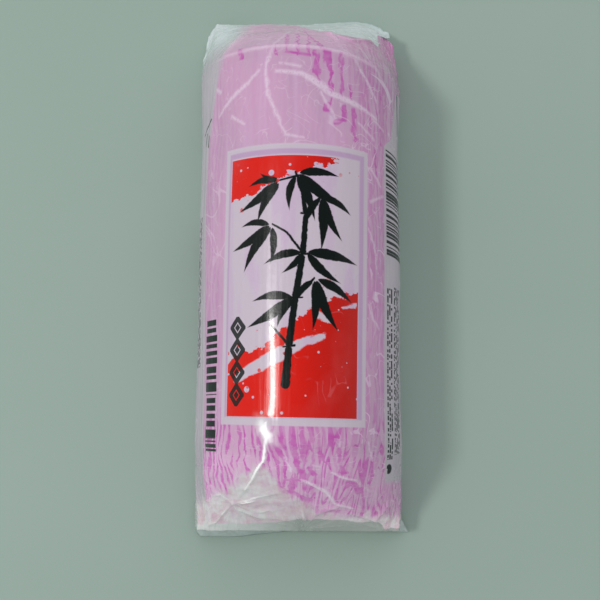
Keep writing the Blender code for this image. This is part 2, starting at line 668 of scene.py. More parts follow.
class EffectShelf:
    """Shader node groups that the finishes share, each built once."""

    def __init__(self) -> None:
        """Build every group."""
        self.stroke = self.make_stroke()
        self.box = self.make_box()
        self.leaf = self.make_leaf()
        self.hairs = self.make_hairs()
        self.grain = self.make_grain()
        self.comb = self.make_comb()
        self.specks = self.make_specks()
        self.ripple = self.make_ripple()

    @staticmethod
    def start(name: str, vectors: Sequence[str], numbers: dict[str, float]) -> tuple[NodeDesk, dict]:
        """Open a new group with its input sockets.

        Args:
            name: The group's name.
            vectors: Names of the inputs that are places.
            numbers: Default of each input that is a number, by name.

        Returns:
            The desk, and the inputs as fields by name.
        """
        tree = bpy.data.node_groups.new(name, "ShaderNodeTree")
        for title in vectors:
            tree.interface.new_socket(title, in_out="INPUT", socket_type="NodeSocketVector")
        for title, default in numbers.items():
            socket = tree.interface.new_socket(title, in_out="INPUT", socket_type="NodeSocketFloat")
            socket.default_value = default
        desk = NodeDesk(tree)
        node = desk.add("NodeGroupInput", {})
        return desk, {title: desk.field(node, title) for title in (*vectors, *numbers)}

    @staticmethod
    def close(desk: NodeDesk, result: Field, name: str = "Mask") -> bpy.types.NodeTree:
        """Put out a group's one result.

        Args:
            desk: The group's desk.
            result: What the group puts out.
            name: Name of the output.

        Returns:
            The group.
        """
        desk.tree.interface.new_socket(name, in_out="OUTPUT", socket_type="NodeSocketFloat")
        desk.add("NodeGroupOutput", {0: result})
        return desk.tree

    def make_stroke(self) -> bpy.types.NodeTree:
        """Build a straight tapered mark between two places.

        Returns:
            The node group.
        """
        desk, given = self.start(
            "tapered stroke", ("Place", "From", "To"), {"Wide From": 1.0, "Wide To": 1.0, "Edge": 0.25},
        )
        arm = desk.vector("SUBTRACT", given["Place"], given["From"])
        line = desk.vector("SUBTRACT", given["To"], given["From"])
        reach = desk.vector("DOT_PRODUCT", arm, line)
        whole = desk.vector("DOT_PRODUCT", line, line)
        share = (reach / whole).held()
        foot = desk.vector("SCALE", line, share)
        gap = desk.vector("SUBTRACT", arm, foot)
        far = desk.vector("LENGTH", gap)
        grow = given["Wide To"] - given["Wide From"]
        wide = grow.line(share, given["Wide From"])
        return self.close(desk, ((wide * 0.5 - far) / given["Edge"] + 0.5).held())

    def make_box(self) -> bpy.types.NodeTree:
        """Build an upright block between four lines.

        Returns:
            The node group.
        """
        desk, given = self.start(
            "upright block", ("Place",),
            {"Left": -1.0, "Right": 1.0, "Low": -1.0, "High": 1.0, "Edge": 0.15},
        )
        x, y = desk.parts(given["Place"])
        side = (x - given["Left"]) & (given["Right"] - x)
        ends = (y - given["Low"]) & (given["High"] - y)
        return self.close(desk, ((side & ends) / given["Edge"] + 0.5).held())

    def make_leaf(self) -> bpy.types.NodeTree:
        """Build a pointed, slightly bent ink leaf.

        Returns:
            The node group.
        """
        desk, given = self.start(
            "ink leaf", ("Place", "Root"),
            {"Turn": 0.0, "Length": 10.0, "Wide": 3.0, "Bend": 0.0, "Ragged": 0.0},
        )
        arm = desk.vector("SUBTRACT", given["Place"], given["Root"])
        values = {"Vector": arm, "Angle": given["Turn"] * -1.0}
        x, y = desk.parts(desk.out("ShaderNodeVectorRotate", values, rotation_type="Z_AXIS"))
        share = (x / given["Length"]).held()
        body = (share ** 0.62 * math.pi).sine()
        bow = (share * math.pi).sine()
        y = y + bow * given["Bend"]
        half = body * given["Wide"] * 0.5
        return self.close(desk, ((half - abs(y) + body * given["Ragged"]) / 0.2).held())

    def make_hairs(self) -> bpy.types.NodeTree:
        """Build long curling paper fibres of uneven thickness.

        Returns:
            The node group.
        """
        desk, given = self.start(
            "paper fibres", ("Place", "Shift"), {"Size": 0.1, "Thick": 0.02, "Cover": 0.5},
        )
        spot = desk.vector("SCALE", given["Place"], given["Size"])
        spot = desk.vector("ADD", spot, given["Shift"])
        gap = abs(desk.flat_noise(spot, detail=1.0, distortion=0.6) - 0.5)
        vary = desk.noise(spot, 2.6, 1.0, 0.5, (7.3, 2.1))
        thick = vary * given["Thick"]
        line = (1.6 - gap / thick).held()
        cover = ((desk.noise(spot, 1.1, 1.0, 0.5, (3.7, 9.4)) - given["Cover"]) * 14.0).held()
        return self.close(desk, line * cover)

    def make_grain(self) -> bpy.types.NodeTree:
        """Build upright outlines like wood grain, which close into loops.

        Returns:
            The node group.
        """
        desk, given = self.start("upright outlines", ("Place", "Shift"), {"Rings": 5.0, "Thick": 0.1})
        spot = desk.vector("ADD", given["Place"], given["Shift"])
        height = desk.noise(spot, (0.26, 0.034), 1.0, 0.35)
        rings = height * given["Rings"]
        gap = desk.math("PINGPONG", rings, 0.5)
        vary = desk.noise(spot, (0.3, 0.05), 1.0, 0.5, (9.0, 5.0)).step(0.3, 0.62)
        return self.close(desk, ((vary * given["Thick"] - gap) * 14.0 + 0.35).held())

    def make_comb(self) -> bpy.types.NodeTree:
        """Build long upright strokes side by side, each with its own ends.

        Returns:
            The node group.
        """
        desk, given = self.start(
            "upright strokes", ("Place", "Shift"), {"Pitch": 1.5, "Thick": 0.3, "Cover": 0.5},
        )
        spot = desk.vector("ADD", given["Place"], given["Shift"])
        sway = desk.noise(spot, (0.1, 0.045), 2.0, 0.5, (3.0, 3.0))
        x, y = desk.parts(spot)
        x = sway.line(7.0, x)
        phase = x / given["Pitch"]
        cell = phase.floor()
        side = phase - cell - 0.5
        lane = desk.place(cell * 5.3, y * 0.05)
        rise = ((desk.flat_noise(lane, detail=1.5) - given["Cover"]) * 7.0).held() ** 0.6
        shake = desk.noise(spot, (0.9, 0.4), 1.0, 0.5, (8.0, 2.0))
        side = (shake - 0.5).line(0.5, side)
        return self.close(desk, ((rise * given["Thick"] - abs(side)) * 9.0 + 0.4).held())

    def make_specks(self) -> bpy.types.NodeTree:
        """Build scattered drops of uneven size.

        Returns:
            The node group.
        """
        desk, given = self.start(
            "scattered drops", ("Place", "Shift"), {"Pitch": 3.0, "Most": 0.5, "Share": 0.5},
        )
        spot = desk.vector("ADD", given["Place"], given["Shift"])
        size = 1.0 / given["Pitch"]
        spot = desk.vector("SCALE", spot, size)
        values = {"Vector": spot, "Scale": 1.0}
        cells = desk.add("ShaderNodeTexVoronoi", values, voronoi_dimensions="2D")
        chance, keeper, _ = desk.picks(desk.field(cells, "Color"))
        far = desk.field(cells, "Distance") * given["Pitch"]
        radius = chance ** 2.0 * given["Most"]
        inside = radius - far
        mask = (inside * 7.0).held()
        return self.close(desk, mask * desk.math("LESS_THAN", keeper, given["Share"]))

    def make_ripple(self) -> bpy.types.NodeTree:
        """Build the fine unevenness of stretched film.

        Returns:
            The node group.
        """
        desk, given = self.start("film ripple", ("Place",), {"Lengthwise": 1.0, "Grain": 1.0})
        place = given["Place"]
        long = desk.noise(place, (0.55, 0.035), 2.0, 0.5, (1.0, 2.0)) * given["Lengthwise"]
        soft = desk.noise(place, (0.33, 0.21), 2.0, 0.5, (5.0, 8.0))
        fine = desk.noise(place, 1.9, 2.0, 0.55, (2.0, 6.0)) * given["Grain"]
        return self.close(desk, fine.line(0.16, soft.line(0.6, long)), "Height")


@dataclass(frozen=True)
class PrintInks:
    """Colours of the film's print, as seen in soft light."""

    pink: Colour = seen(199, 156, 188)
    pink_cool: Colour = seen(190, 154, 183)
    magenta: Colour = seen(186, 82, 168)
    fibre: Colour = seen(224, 206, 226)
    white: Colour = seen(196, 182, 196)
    lilac: Colour = seen(182, 148, 186)
    red: Colour = seen(216, 20, 4)
    red_thin: Colour = seen(206, 70, 72)
    ink: Colour = seen(12, 22, 20)
    side_strip: Colour = seen(194, 184, 193)
    # bare and bare_warm are painted lighter than the bare film itself, a painted light that makes up for
    # the dimmer light at the near end.
    bare: Colour = seen(246, 240, 246)
    bare_warm: Colour = seen(216, 194, 200)
    milky: Colour = seen(204, 214, 216)
    small_ink: Colour = seen(18, 22, 26)


class PrintPart(Enum):
    """Parts of the film that are printed differently."""

    GROUND = "pink ground"
    FAR_END = "far end"
    NEAR_END = "near end"
    STRIP = "side strip"
    PANEL = "panel"


class InkMark(Enum):
    """Kinds of small printed mark in an upright column."""

    LOZENGES = "stacked lozenges"
    BLOCKS = "bold blocks"
    DASHES = "broken lines"


@dataclass(frozen=True)
class Gloss:
    """How a film shines."""

    roughness: float = 0.26
    specular: float = 0.4
    coat: float = 0.48
    coat_roughness: float = 0.08
    ior: float = 1.5
    bump: float = 0.22
    depth: float = 0.00035


class FilmPrint:
    """What every printed part of the film shares: its map, marks and shine."""

    name = "printed film"
    RIGHT_RIM: tuple[Spot, ...] = (
        (-66.0, 29.0), (-50.0, 27.2), (30.0, 28.0), (33.0, 33.0), (43.0, 36.5), (50.0, 39.0), (56.0, 60.0),
    )
    LEFT_RIM: tuple[Spot, ...] = (
        (-68.0, -35.6), (-52.0, -33.6), (-40.0, -33.0), (-12.0, -33.4), (16.0, -34.2), (30.0, -33.2),
        (37.0, -30.4), (46.0, -27.6), (58.0, -22.4), (72.0, -20.8),
    )
    PANEL: tuple[float, float, float, float] = (-22.5, 19.5, -45.8, 26.2)

    def __init__(self, shelf: EffectShelf, gloss: Gloss) -> None:
        """Open the material and read where its surface is.

        Args:
            shelf: The shared effects.
            gloss: How the film shines.
        """
        self.shelf, self.gloss, self.inks = shelf, gloss, PrintInks()
        self.material = bpy.data.materials.new(self.name)
        self.material.use_nodes = True
        self.desk = NodeDesk(self.material.node_tree)
        self.film = self.film_place()

    def build(self) -> Material:
        """Print the colour, make it shine and return the material."""
        self.shine(self.colour())
        return self.material

    def colour(self) -> Field:
        """Print the film's colour."""
        raise NotImplementedError

    def shine(self, colour: Field) -> None:
        """Whiten the folds, partly as whitening of creased film and partly as painted highlight, let the
        brightest folds glow as a painted highlight, and make the film glossy.

        Args:
            colour: The print's colour.
        """
        desk, film = self.desk, self.film
        gloss = self.gloss
        whitening_and_sheen = desk.field(desk.add("ShaderNodeAttribute", {}, attribute_name="whitening_and_sheen"), 2)
        # Folds are blended toward near-white: partly whitening of creased film, partly painted highlight
        # where folds catch the light.
        share = (whitening_and_sheen * 0.5).held()
        # The brightest fold cores glow through emission, a painted highlight that gives off light though it
        # is no lamp.
        painted_glow = whitening_and_sheen.line(0.5, -0.45).held()
        uneven = desk.noise(film, 0.12, 2.0, 0.5, (3.0, 3.0))
        rough = uneven.line(0.1, gloss.roughness - 0.05)
        height = desk.group(self.shelf.ripple, place=film, lengthwise=1.0, grain=1.0)
        values = {"Strength": gloss.bump, "Distance": gloss.depth, "Height": height}
        desk.fill(
            desk.tree.nodes["Principled BSDF"],
            {
                "Base Color": desk.blend(share, colour, seen(244, 238, 244)), "Emission Color": painted_glow,
                "Emission Strength": 0.8, "Roughness": whitening_and_sheen.line(0.12, rough), "Coat Weight": gloss.coat,
                "Coat Roughness": gloss.coat_roughness, "Specular IOR Level": gloss.specular,
                "IOR": gloss.ior, "Normal": desk.out("ShaderNodeBump", values),
            },
        )

    def paper(self) -> Field:
        """Print the pale paper colour of the side strips.

        Returns:
            The colour.
        """
        desk, film = self.desk, self.film
        cloud = desk.noise(film, 0.06, 2.0, 0.5, (8.0, 2.0))
        return desk.blend(cloud, self.inks.side_strip, seen(178, 166, 180))

    def squared(self) -> Field:
        """Turn film places square to the panel, which is printed a little askew.

        Returns:
            The place.
        """
        desk, film = self.desk, self.film
        values = {
            "Rotation": (0.0, 0.0, PRINT_TILT), "Location": (-PRINT_TURN * PRINT_TILT, 0.0, 0.0),
            "Vector": film,
        }
        return desk.out("ShaderNodeMapping", values)

    def film_place(self) -> Field:
        """Read the film's own map as millimetres.

        Returns:
            The place.
        """
        desk = self.desk
        chart = desk.out("ShaderNodeUVMap", {}, uv_map="film")
        scale = (PRINT_SPAN, PRINT_SPAN, 1.0)
        shift = (-0.5 * PRINT_SPAN, -0.5 * PRINT_SPAN, 0.0)
        values = {"Scale": scale, "Location": shift, "Vector": chart}
        return desk.out("ShaderNodeMapping", values)

    def strokes(self, place: Field, marks: Sequence[Stroke], edge: float) -> Field:
        """Draw tapered strokes and join them into one mask.

        Args:
            place: Where the surface is.
            marks: Start, end and the two widths of each stroke.
            edge: Softness of the rim.

        Returns:
            The mask.
        """
        desk = self.desk
        total: Input = 0.0
        for x0, y0, x1, y1, w0, w1 in marks:
            mask = desk.group(
                self.shelf.stroke, place=place, **{"from": (x0, y0, 0.0), "to": (x1, y1, 0.0)},
                wide_from=w0, wide_to=w1, edge=edge,
            )
            total = mask | total
        return total

    def column(
        self, place: Field, kind: InkMark, left: float, right: float, low: float, high: float, pitch: float,
    ) -> Field:
        """Print an upright column of small marks that hold no lettering.

        Args:
            place: Where the surface is.
            kind: Which marks fill it.
            left: Left edge.
            right: Right edge.
            low: Lower end.
            high: Upper end.
            pitch: Distance between lines or marks.

        Returns:
            The mask.
        """
        desk = self.desk
        room = desk.group(self.shelf.box, place=place, left=left, right=right, low=low, high=high, edge=0.1)
        across, along = desk.parts(place)
        if kind is InkMark.DASHES:
            line = (across - left) / pitch
            number = line.floor()
            middle = abs(abs(line - number) - 0.5)
            body = ((0.42 - middle) * 7.0).held()
            spot = desk.place(number * 7.7, along * 0.86)
            return body * ((desk.flat_noise(spot, detail=1.0) - 0.44) * 16.0).held() * room
        centre, half = (left + right) / 2.0, (right - left) / 2.0
        x = abs(across - centre)
        if kind is InkMark.BLOCKS:
            cell = (along - low) / pitch
            number = cell.floor()
            y = cell - number - 0.5
            dice = desk.add("ShaderNodeTexWhiteNoise", {"W": number}, noise_dimensions="1D")
            high_pick, _, wide_pick = desk.picks(desk.field(dice, "Color"))
            wide = wide_pick.line(-0.25, 1.0)
            body = wide * half - x
            tall = 0.43 - abs(y)
            body = ((body & (tall * pitch)) * 6.0).held()
            level = high_pick.line(0.36, -0.28)
            return body * (abs(y - level) * pitch).line(6.0, -1.2).held() * room
        cell = (along - low) / pitch
        cell = cell - cell.floor()
        y = abs(cell - 0.5)
        reach = y.line(pitch * 0.84, x)
        rim = half * 0.32 - abs(reach - half * 0.78)
        return ((rim | (half * 0.36 - reach)) * 8.0 + 0.3).held() * room


class PinkGround(FilmPrint):
    """Pink paper-look ground with upright strands and white fibres."""

    name = "printed pink ground"
    SHOW = 0.62
    # How much lighter the sloping ends are painted, as painted light.
    PAINTED_END_LIGHT = 0.22
    WEBS: tuple[Web, ...] = (
        (0.06, 0.008, 0.49, 4.4, 0.6), (0.1, 0.01, 0.48, 12.1, 0.52), (0.19, 0.02, 0.49, 6.0, 0.42),
    )
    WHITE_LINES: tuple[Stroke, ...] = (
        (-7.4, 51.8, -9.3, 46.6, 0.9, 0.8), (-9.3, 46.6, -8.6, 39.8, 0.8, 1.0),
        (-8.6, 39.8, -3.8, 28.6, 1.0, 0.6), (-3.8, 28.6, 0.8, 27.7, 0.7, 0.4),
        (-11.2, 46.1, -14.6, 43.2, 0.6, 0.9), (-14.6, 43.2, -20.4, 40.4, 1.0, 1.1),
        (-20.4, 40.4, -26.4, 36.9, 1.1, 0.5), (-6.6, 45.5, 0.5, 44.9, 0.8, 1.2),
        (0.5, 44.9, 6.0, 41.9, 1.3, 2.2), (6.0, 41.9, 8.5, 40.1, 2.3, 1.6),
        (8.5, 40.1, 16.0, 38.6, 1.6, 1.5), (16.0, 38.6, 24.0, 36.4, 1.5, 0.7),
        (5.4, 40.2, 9.6, 33.4, 0.7, 0.4), (16.5, 50.5, 24.0, 42.0, 0.7, 0.9),
        (-5.4, 47.6, 0.0, 46.8, 0.4, 0.6), (17.2, 22.6, 22.0, 21.4, 0.4, 0.7),
        (22.0, 21.4, 25.8, 18.0, 0.7, 0.5), (16.7, 33.4, 22.6, 30.1, 0.4, 0.6),
        (21.0, 12.9, 27.4, 15.6, 0.7, 0.5), (22.1, 36.1, 28.0, 33.9, 0.5, 0.5),
        (20.2, 5.6, 22.8, 1.4, 0.3, 0.6), (22.8, 1.4, 23.6, -4.6, 0.6, 0.4),
        (20.4, -14.6, 22.0, -18.2, 0.4, 0.6), (22.0, -18.2, 25.0, -20.6, 0.6, 0.4),
        (-37.6, 49.4, -25.8, 43.1, 0.6, 1.0), (-20.4, 35.5, -15.6, 32.8, 0.8, 0.6),
    )
    STRANDS: tuple[Stroke, ...] = (
        (4.2, 51.4, 4.4, 45.6, 0.9, 1.5), (4.4, 45.6, 5.2, 42.6, 1.6, 0.4),
        (7.4, 51.8, 8.2, 45.2, 2.0, 1.2), (8.2, 45.2, 8.3, 41.2, 1.0, 1.3),
        (8.3, 39.0, 7.0, 35.6, 0.7, 1.4), (11.2, 51.2, 11.6, 43.2, 0.9, 1.3),
        (11.6, 43.2, 11.3, 39.6, 1.2, 0.6), (12.2, 37.4, 12.1, 33.8, 1.0, 1.8),
        (12.1, 33.8, 9.7, 32.4, 1.6, 1.4), (14.0, 43.6, 14.2, 40.0, 0.5, 1.0),
        (15.2, 36.8, 15.3, 28.6, 1.3, 1.4), (26.0, 45.0, 26.2, 29.6, 0.5, 0.8),
        (23.1, 27.4, 23.9, 20.6, 0.6, 0.9),
    )
    TICKS: tuple[Stroke, ...] = (
        (-38.2, 34.8, -31.4, 37.6, 0.35, 0.5), (-35.9, 31.8, -34.9, 34.6, 0.6, 0.5),
        (-33.7, 30.9, -33.1, 33.6, 0.7, 0.5),
    )

    def colour(self) -> Field:
        """Print the ground, the panel's rim and the rims of the side strips.

        Returns:
            The colour.
        """
        desk = self.desk
        ground = self.side_rims(self.ground())
        place = self.squared()
        left, right, low, high = self.PANEL
        rim = desk.group(
            self.shelf.box, place=place, left=left, right=right, low=low, high=high, edge=0.3
        )
        return self.stamped(desk.blend(rim, ground, self.inks.white))

    def ground(self) -> Field:
        """Print the pink ground with its upright strands and white fibres, some of which at the ends are
        painted highlight along folds, and paint the sloping ends lighter as painted light, less so on the
        right where shade falls.

        Returns:
            The colour.
        """
        desk, film = self.desk, self.film
        inks = self.inks
        across, along = desk.parts(film)
        cloud = desk.noise(film, (0.055, 0.03), 3.0, 0.55, (2.0, 0.0))
        colour = desk.blend(cloud.step(0.35, 0.68), inks.pink, inks.pink_cool)
        streak = desk.noise(film, (0.3, 0.012), 2.0, 0.5, (0.0, 4.0))
        colour = desk.blend(streak.step(0.48, 0.72) * 0.28, colour, seen(210, 174, 208))
        low_end = along.step(-38.0, -48.8)
        right = across.step(8.0, 23.0)
        left = across.step(-20.0, -28.0)
        upper = along.step(26.0, 34.0) * right
        amount = low_end | (right * 0.42) | (left * 0.27) | (upper * 0.62) | 0.08
        calm = (low_end * across.step(-3.0, 8.0)).line(-0.62, 1.0)
        fine = desk.group(
            self.shelf.comb, place=film, pitch=1.8, thick=0.29, cover=0.38, shift=(0.0, 9.0, 0.0),
        )
        loops = desk.group(self.shelf.grain, place=film, rings=5.8, thick=0.24, shift=(31.0, 17.0, 0.0))
        loops = loops * across.step(-14.0, 4.0)
        fine = fine * calm
        lines = (fine | loops) * amount
        wander = (desk.noise(film, (0.7, 0.4), 2.0, 0.5, (6.0, 6.0)) - 0.5) * 2.6
        bent = desk.vector("ADD", film, desk.place(wander, 0.0))
        strands = self.strokes(bent, self.STRANDS, 0.5)
        mask = lines | strands
        tint = desk.noise(film, 0.4, 2.0, 0.5, (1.0, 5.0))
        mask = mask * tint.line(0.9, 0.32)
        colour = desk.blend(mask, colour, inks.magenta)
        web: Input = 0.0
        for size, thick, cover, shift, share in self.WEBS:
            hairs = desk.group(
                self.shelf.hairs, place=film, size=size, thick=thick, cover=cover,
                shift=(shift, 2.3 * shift, 0.0),
            )
            web = (hairs * share) | web
        curl = (desk.noise(film, 0.5, 2.0, 0.5, (9.0, 1.0)) - 0.5) * 1.3
        drawn = desk.vector("ADD", film, desk.place(curl, 0.0))
        main = self.strokes(drawn, self.WHITE_LINES, 0.75)
        torn = desk.noise(film, (1.5, 1.3), 3.0, 0.6, (4.0, 7.0))
        main = main * torn.step(0.16, 0.52)
        dense = right.line(0.9, 1.0)
        web = (web * dense).held() | main
        colour = desk.blend(web * self.SHOW, colour, inks.fibre)
        # Painted light: the sloping ends are painted lighter for the light they catch, less on the right
        # where shade falls.
        off = abs(along - 1.2)
        end_light_share = right.line(-0.24, self.PAINTED_END_LIGHT)
        return desk.vector("SCALE", colour, off.step(48.0, 62.0).line(end_light_share, 1.0))

    def side_rims(self, ground: Field) -> Field:
        """Print the beginning of the pale strips along the flanks.

        Args:
            ground: The pink ground's colour.

        Returns:
            The colour.
        """
        desk, film = self.desk, self.film
        across, along = desk.parts(film)
        gap = desk.profile(along, self.LEFT_RIM) - across
        faint = along.step(35.0, 52.0)
        crisp = faint.line(-2.82, 3.0)
        left = faint.line(0.42, gap * crisp).held()
        rule = (1.0 - abs(gap - 2.4) * 3.0).held()
        shown = faint.line(-0.5, 0.5)
        rule = rule * shown
        right = ((across - desk.profile(along, self.RIGHT_RIM)) * 3.0).held()
        right = right * along.step(-70.5, -66.8)
        sides = left | right
        return desk.blend(rule, desk.blend(sides, ground, self.paper()), seen(96, 92, 100))

    def stamped(self, colour: Field) -> Field:
        """Print the column of bold blocks along the left.

        Args:
            colour: The colour under it.

        Returns:
            The colour.
        """
        desk, film = self.desk, self.film
        stamp = self.column(film, InkMark.BLOCKS, -32.4, -25.0, -54.6, -17.6, 4.1)
        return desk.blend(stamp | self.strokes(film, self.TICKS, 0.2), colour, self.inks.ink)


class FarGround(PinkGround):
    """The pink ground down the far end, with bare film at its two corners."""

    name = "printed far end"
    SHOW = 0.42
    WEBS: tuple[Web, ...] = ((0.08, 0.012, 0.49, 5.0, 0.4), (0.17, 0.02, 0.52, 2.0, 0.22))
    WHITE_LINES: tuple[Stroke, ...] = (
        # The long line near 52 along, from -31 to 31 across, is a painted highlight where the film bends
        # over the far crest; the others are printed fibres.
        (-4.2, 74.0, -5.4, 62.6, 0.9, 1.0), (-5.4, 62.6, -7.4, 51.8, 1.0, 0.9),
        (-7.4, 51.8, -9.3, 46.6, 0.9, 0.8), (-31.2, 52.3, -17.2, 51.9, 0.5, 0.8),
        (-17.2, 51.9, -2.7, 52.4, 0.8, 1.3), (-2.7, 52.4, 10.8, 53.1, 1.6, 1.6),
        (10.8, 53.1, 23.7, 52.0, 1.3, 1.1), (23.7, 52.0, 31.0, 47.0, 1.1, 0.9),
        (16.5, 50.5, 24.0, 42.0, 0.7, 1.0), (12.0, 56.0, 16.5, 50.5, 0.5, 0.8),
        (19.0, 62.0, 21.5, 53.0, 0.7, 0.9), (-16.0, 66.0, -9.0, 60.0, 0.5, 0.7),
    )
    STRANDS: tuple[Stroke, ...] = (
        (-9.1, 74.9, -4.3, 73.6, 0.6, 1.0), (-4.5, 67.4, -3.6, 50.6, 0.7, 0.8),
        (-0.9, 68.4, -0.6, 50.1, 0.8, 0.9), (2.7, 65.7, 2.0, 50.1, 0.8, 0.7),
        (-4.0, 50.6, 2.4, 50.1, 0.6, 0.9), (1.6, 73.2, 5.2, 55.6, 0.7, 1.1),
        (5.2, 55.6, 7.0, 50.1, 1.1, 2.0), (4.2, 51.4, 4.6, 47.6, 0.9, 1.3),
        (7.4, 51.8, 8.2, 46.2, 2.0, 1.3), (11.2, 52.4, 11.4, 45.2, 1.0, 1.2),
        (-17.8, 53.2, -16.9, 50.2, 1.5, 1.0), (-6.2, 54.0, -6.5, 47.9, 0.5, 0.5),
    )
    FLAP: tuple[Spot, ...] = (
        (-30.0, 98.0), (-14.0, 95.0), (-5.0, 92.5), (1.0, 87.0), (5.0, 79.5), (8.0, 76.8), (12.0, 75.6),
        (17.0, 75.0), (22.0, 75.4), (28.6, 76.2), (31.0, 92.0), (36.0, 99.0),
    )

    def colour(self) -> Field:
        """Print the ground, paint the flap's shadow on it, and leave the ear and the flap bare.

        Returns:
            The colour.
        """
        desk, film = self.desk, self.film
        across, along = desk.parts(film)
        ground = self.ground()
        warm = desk.vector("MULTIPLY", ground, (1.04, 0.9, 0.97))
        colour = self.side_rims(desk.blend(along.step(49.0, 62.0), ground, warm))
        ear = along.step(54.0, 78.0) * 0.9 * across.step(-15.0, -28.0)
        past = along - desk.profile(across, self.FLAP)
        # Painted shadow that the far flap casts on the pink below it.
        flap_shadow = past.line(0.28, 1.0).held() * across.step(5.0, 12.0)
        colour = desk.blend(flap_shadow * 0.4, colour, seen(158, 128, 140))
        hidden = along.step(77.0, 85.0)
        fray = (desk.noise(film, (0.16, 0.3), 3.0, 0.6, (8.0, 8.0)) - 0.5) * 11.0
        past = fray.line(hidden, past)
        crisp = hidden.line(-2.65, 3.0)
        return desk.blend(((past * crisp).held() * 0.92) | ear, colour, self.inks.milky)


class NearGround(PinkGround):
    """The pink ground at the near end, which runs out into bare film."""

    name = "printed near end"
    # The near end is painted lighter still, as painted light.
    PAINTED_END_LIGHT = 0.36
    WEBS: tuple[Web, ...] = ((0.12, 0.012, 0.5, 11.0, 0.4), (0.21, 0.02, 0.5, 6.0, 0.4))
    WHITE_LINES: tuple[Stroke, ...] = (
        # The first six lines follow the near folds and are drawn pale, partly as whitening of the creased
        # film and partly as painted highlight; the last two are printed fibres.
        (1.2, -66.4, 4.9, -68.6, 0.6, 0.9), (4.9, -68.6, 9.9, -72.9, 0.9, 1.0),
        (9.9, -72.9, 12.9, -78.5, 1.0, 0.8), (12.9, -78.5, 18.4, -81.0, 0.8, 0.6),
        (9.9, -63.0, 13.6, -65.5, 0.5, 0.8), (13.6, -65.5, 17.3, -66.7, 0.8, 0.5),
        (-3.8, -56.0, -2.4, -62.5, 0.5, 0.8), (20.0, -50.0, 22.4, -58.0, 0.5, 0.7),
    )
    STRANDS: tuple[Stroke, ...] = (
        (-10.6, -61.0, -7.4, -68.2, 0.9, 1.7), (-7.4, -68.2, -6.0, -70.6, 1.7, 1.1),
        (-5.8, -72.5, -2.5, -72.9, 1.5, 2.0), (-2.5, -72.9, 1.2, -75.0, 2.0, 2.4),
        (1.2, -75.0, 5.4, -77.0, 2.4, 1.5), (1.8, -75.6, 4.2, -80.4, 2.2, 1.4),
        (-4.6, -66.8, 0.2, -66.6, 0.8, 1.2), (-0.8, -53.0, -0.2, -59.9, 1.2, 1.7),
        (-0.2, -59.9, 1.8, -65.8, 1.7, 2.3), (3.1, -60.6, 4.9, -64.0, 1.1, 1.7),
        (10.4, -82.4, 14.4, -82.8, 2.4, 1.6), (12.2, -60.4, 13.4, -63.4, 1.5, 2.4),
        (16.4, -67.4, 19.4, -72.6, 1.6, 2.7), (4.9, -51.6, 6.8, -58.0, 1.0, 1.4),
        (10.6, -52.4, 11.7, -58.2, 1.1, 1.3),
    )
    RAGGED: tuple[Spot, ...] = (
        (-46.0, -80.5), (-40.9, -78.9), (-29.0, -74.6), (-22.1, -71.6), (-17.8, -65.9), (-14.0, -62.2),
        (-9.7, -59.5), (-7.5, -66.5), (-5.4, -73.0), (0.5, -76.2), (7.0, -81.6), (11.8, -83.7),
        (18.3, -85.2), (24.7, -84.3), (47.9, -85.4),
    )
    HEMLINE: tuple[Spot, ...] = (
        (-46.9, -91.2), (-30.8, -89.6), (-19.7, -89.8), (-4.9, -87.6), (3.7, -87.0), (14.8, -87.0),
        (21.6, -88.2), (26.5, -87.8), (29.0, -88.4), (33.7, -92.5),
    )

    def colour(self) -> Field:
        """Print the ground up to its ragged end."""
        return self.bare_film(self.stamped(self.side_rims(self.ground())))

    def bare_film(self, colour: Field) -> Field:
        """Leave the film unprinted at the near end, past the print's ragged rim, and paint the hem band
        below it in the table's tone, darker to the right as painted shade under the hem.

        Args:
            colour: The print's colour.

        Returns:
            The colour.
        """
        desk, film = self.desk, self.film
        inks = self.inks
        across, along = desk.parts(film)
        fray = (desk.noise(film, (0.5, 0.15), 3.0, 0.6, (4.0, 4.0)) - 0.5) * 10.0
        rim = desk.profile(across, self.RAGGED)
        past = rim + fray - along
        mask = past.line(0.24, 0.42).held()
        haze = desk.noise(film, 0.13, 3.0, 0.6, (1.0, 9.0))
        # The bare film is mottled, and its Voronoi facets are painted lighter and darker as painted shading
        # of folded facets.
        values = {"Vector": desk.vector("MULTIPLY", film, (0.15, 0.2, 1.0)), "Scale": 1.0}
        facet_shading = desk.add("ShaderNodeTexVoronoi", values, voronoi_dimensions="2D")
        chance, _, _ = desk.picks(desk.field(facet_shading, "Color"))
        tone = haze + chance.line(0.26, -0.13)
        paint = desk.blend(tone.step(0.33, 0.67), inks.bare_warm, inks.bare)
        blush = desk.noise(film, (0.24, 0.12), 3.0, 0.6, (7.0, 3.0)).step(0.45, 0.72) * 0.45
        paint = desk.blend(blush, paint, seen(214, 176, 204))
        colour = desk.blend(mask * 0.86, colour, paint)
        under = desk.profile(across, self.HEMLINE) - along
        wobble = haze - 0.5
        under = wobble.line(2.4, under)
        skirt = (under * 2.0).held()
        # The hem band shows the table through the film; its darker colour to the right is painted shade
        # beneath the hem.
        deep = desk.blend(across.step(-26.0, 2.0), seen(209, 213, 212), seen(156, 163, 158))
        return desk.blend(skirt * 0.94, colour, deep)


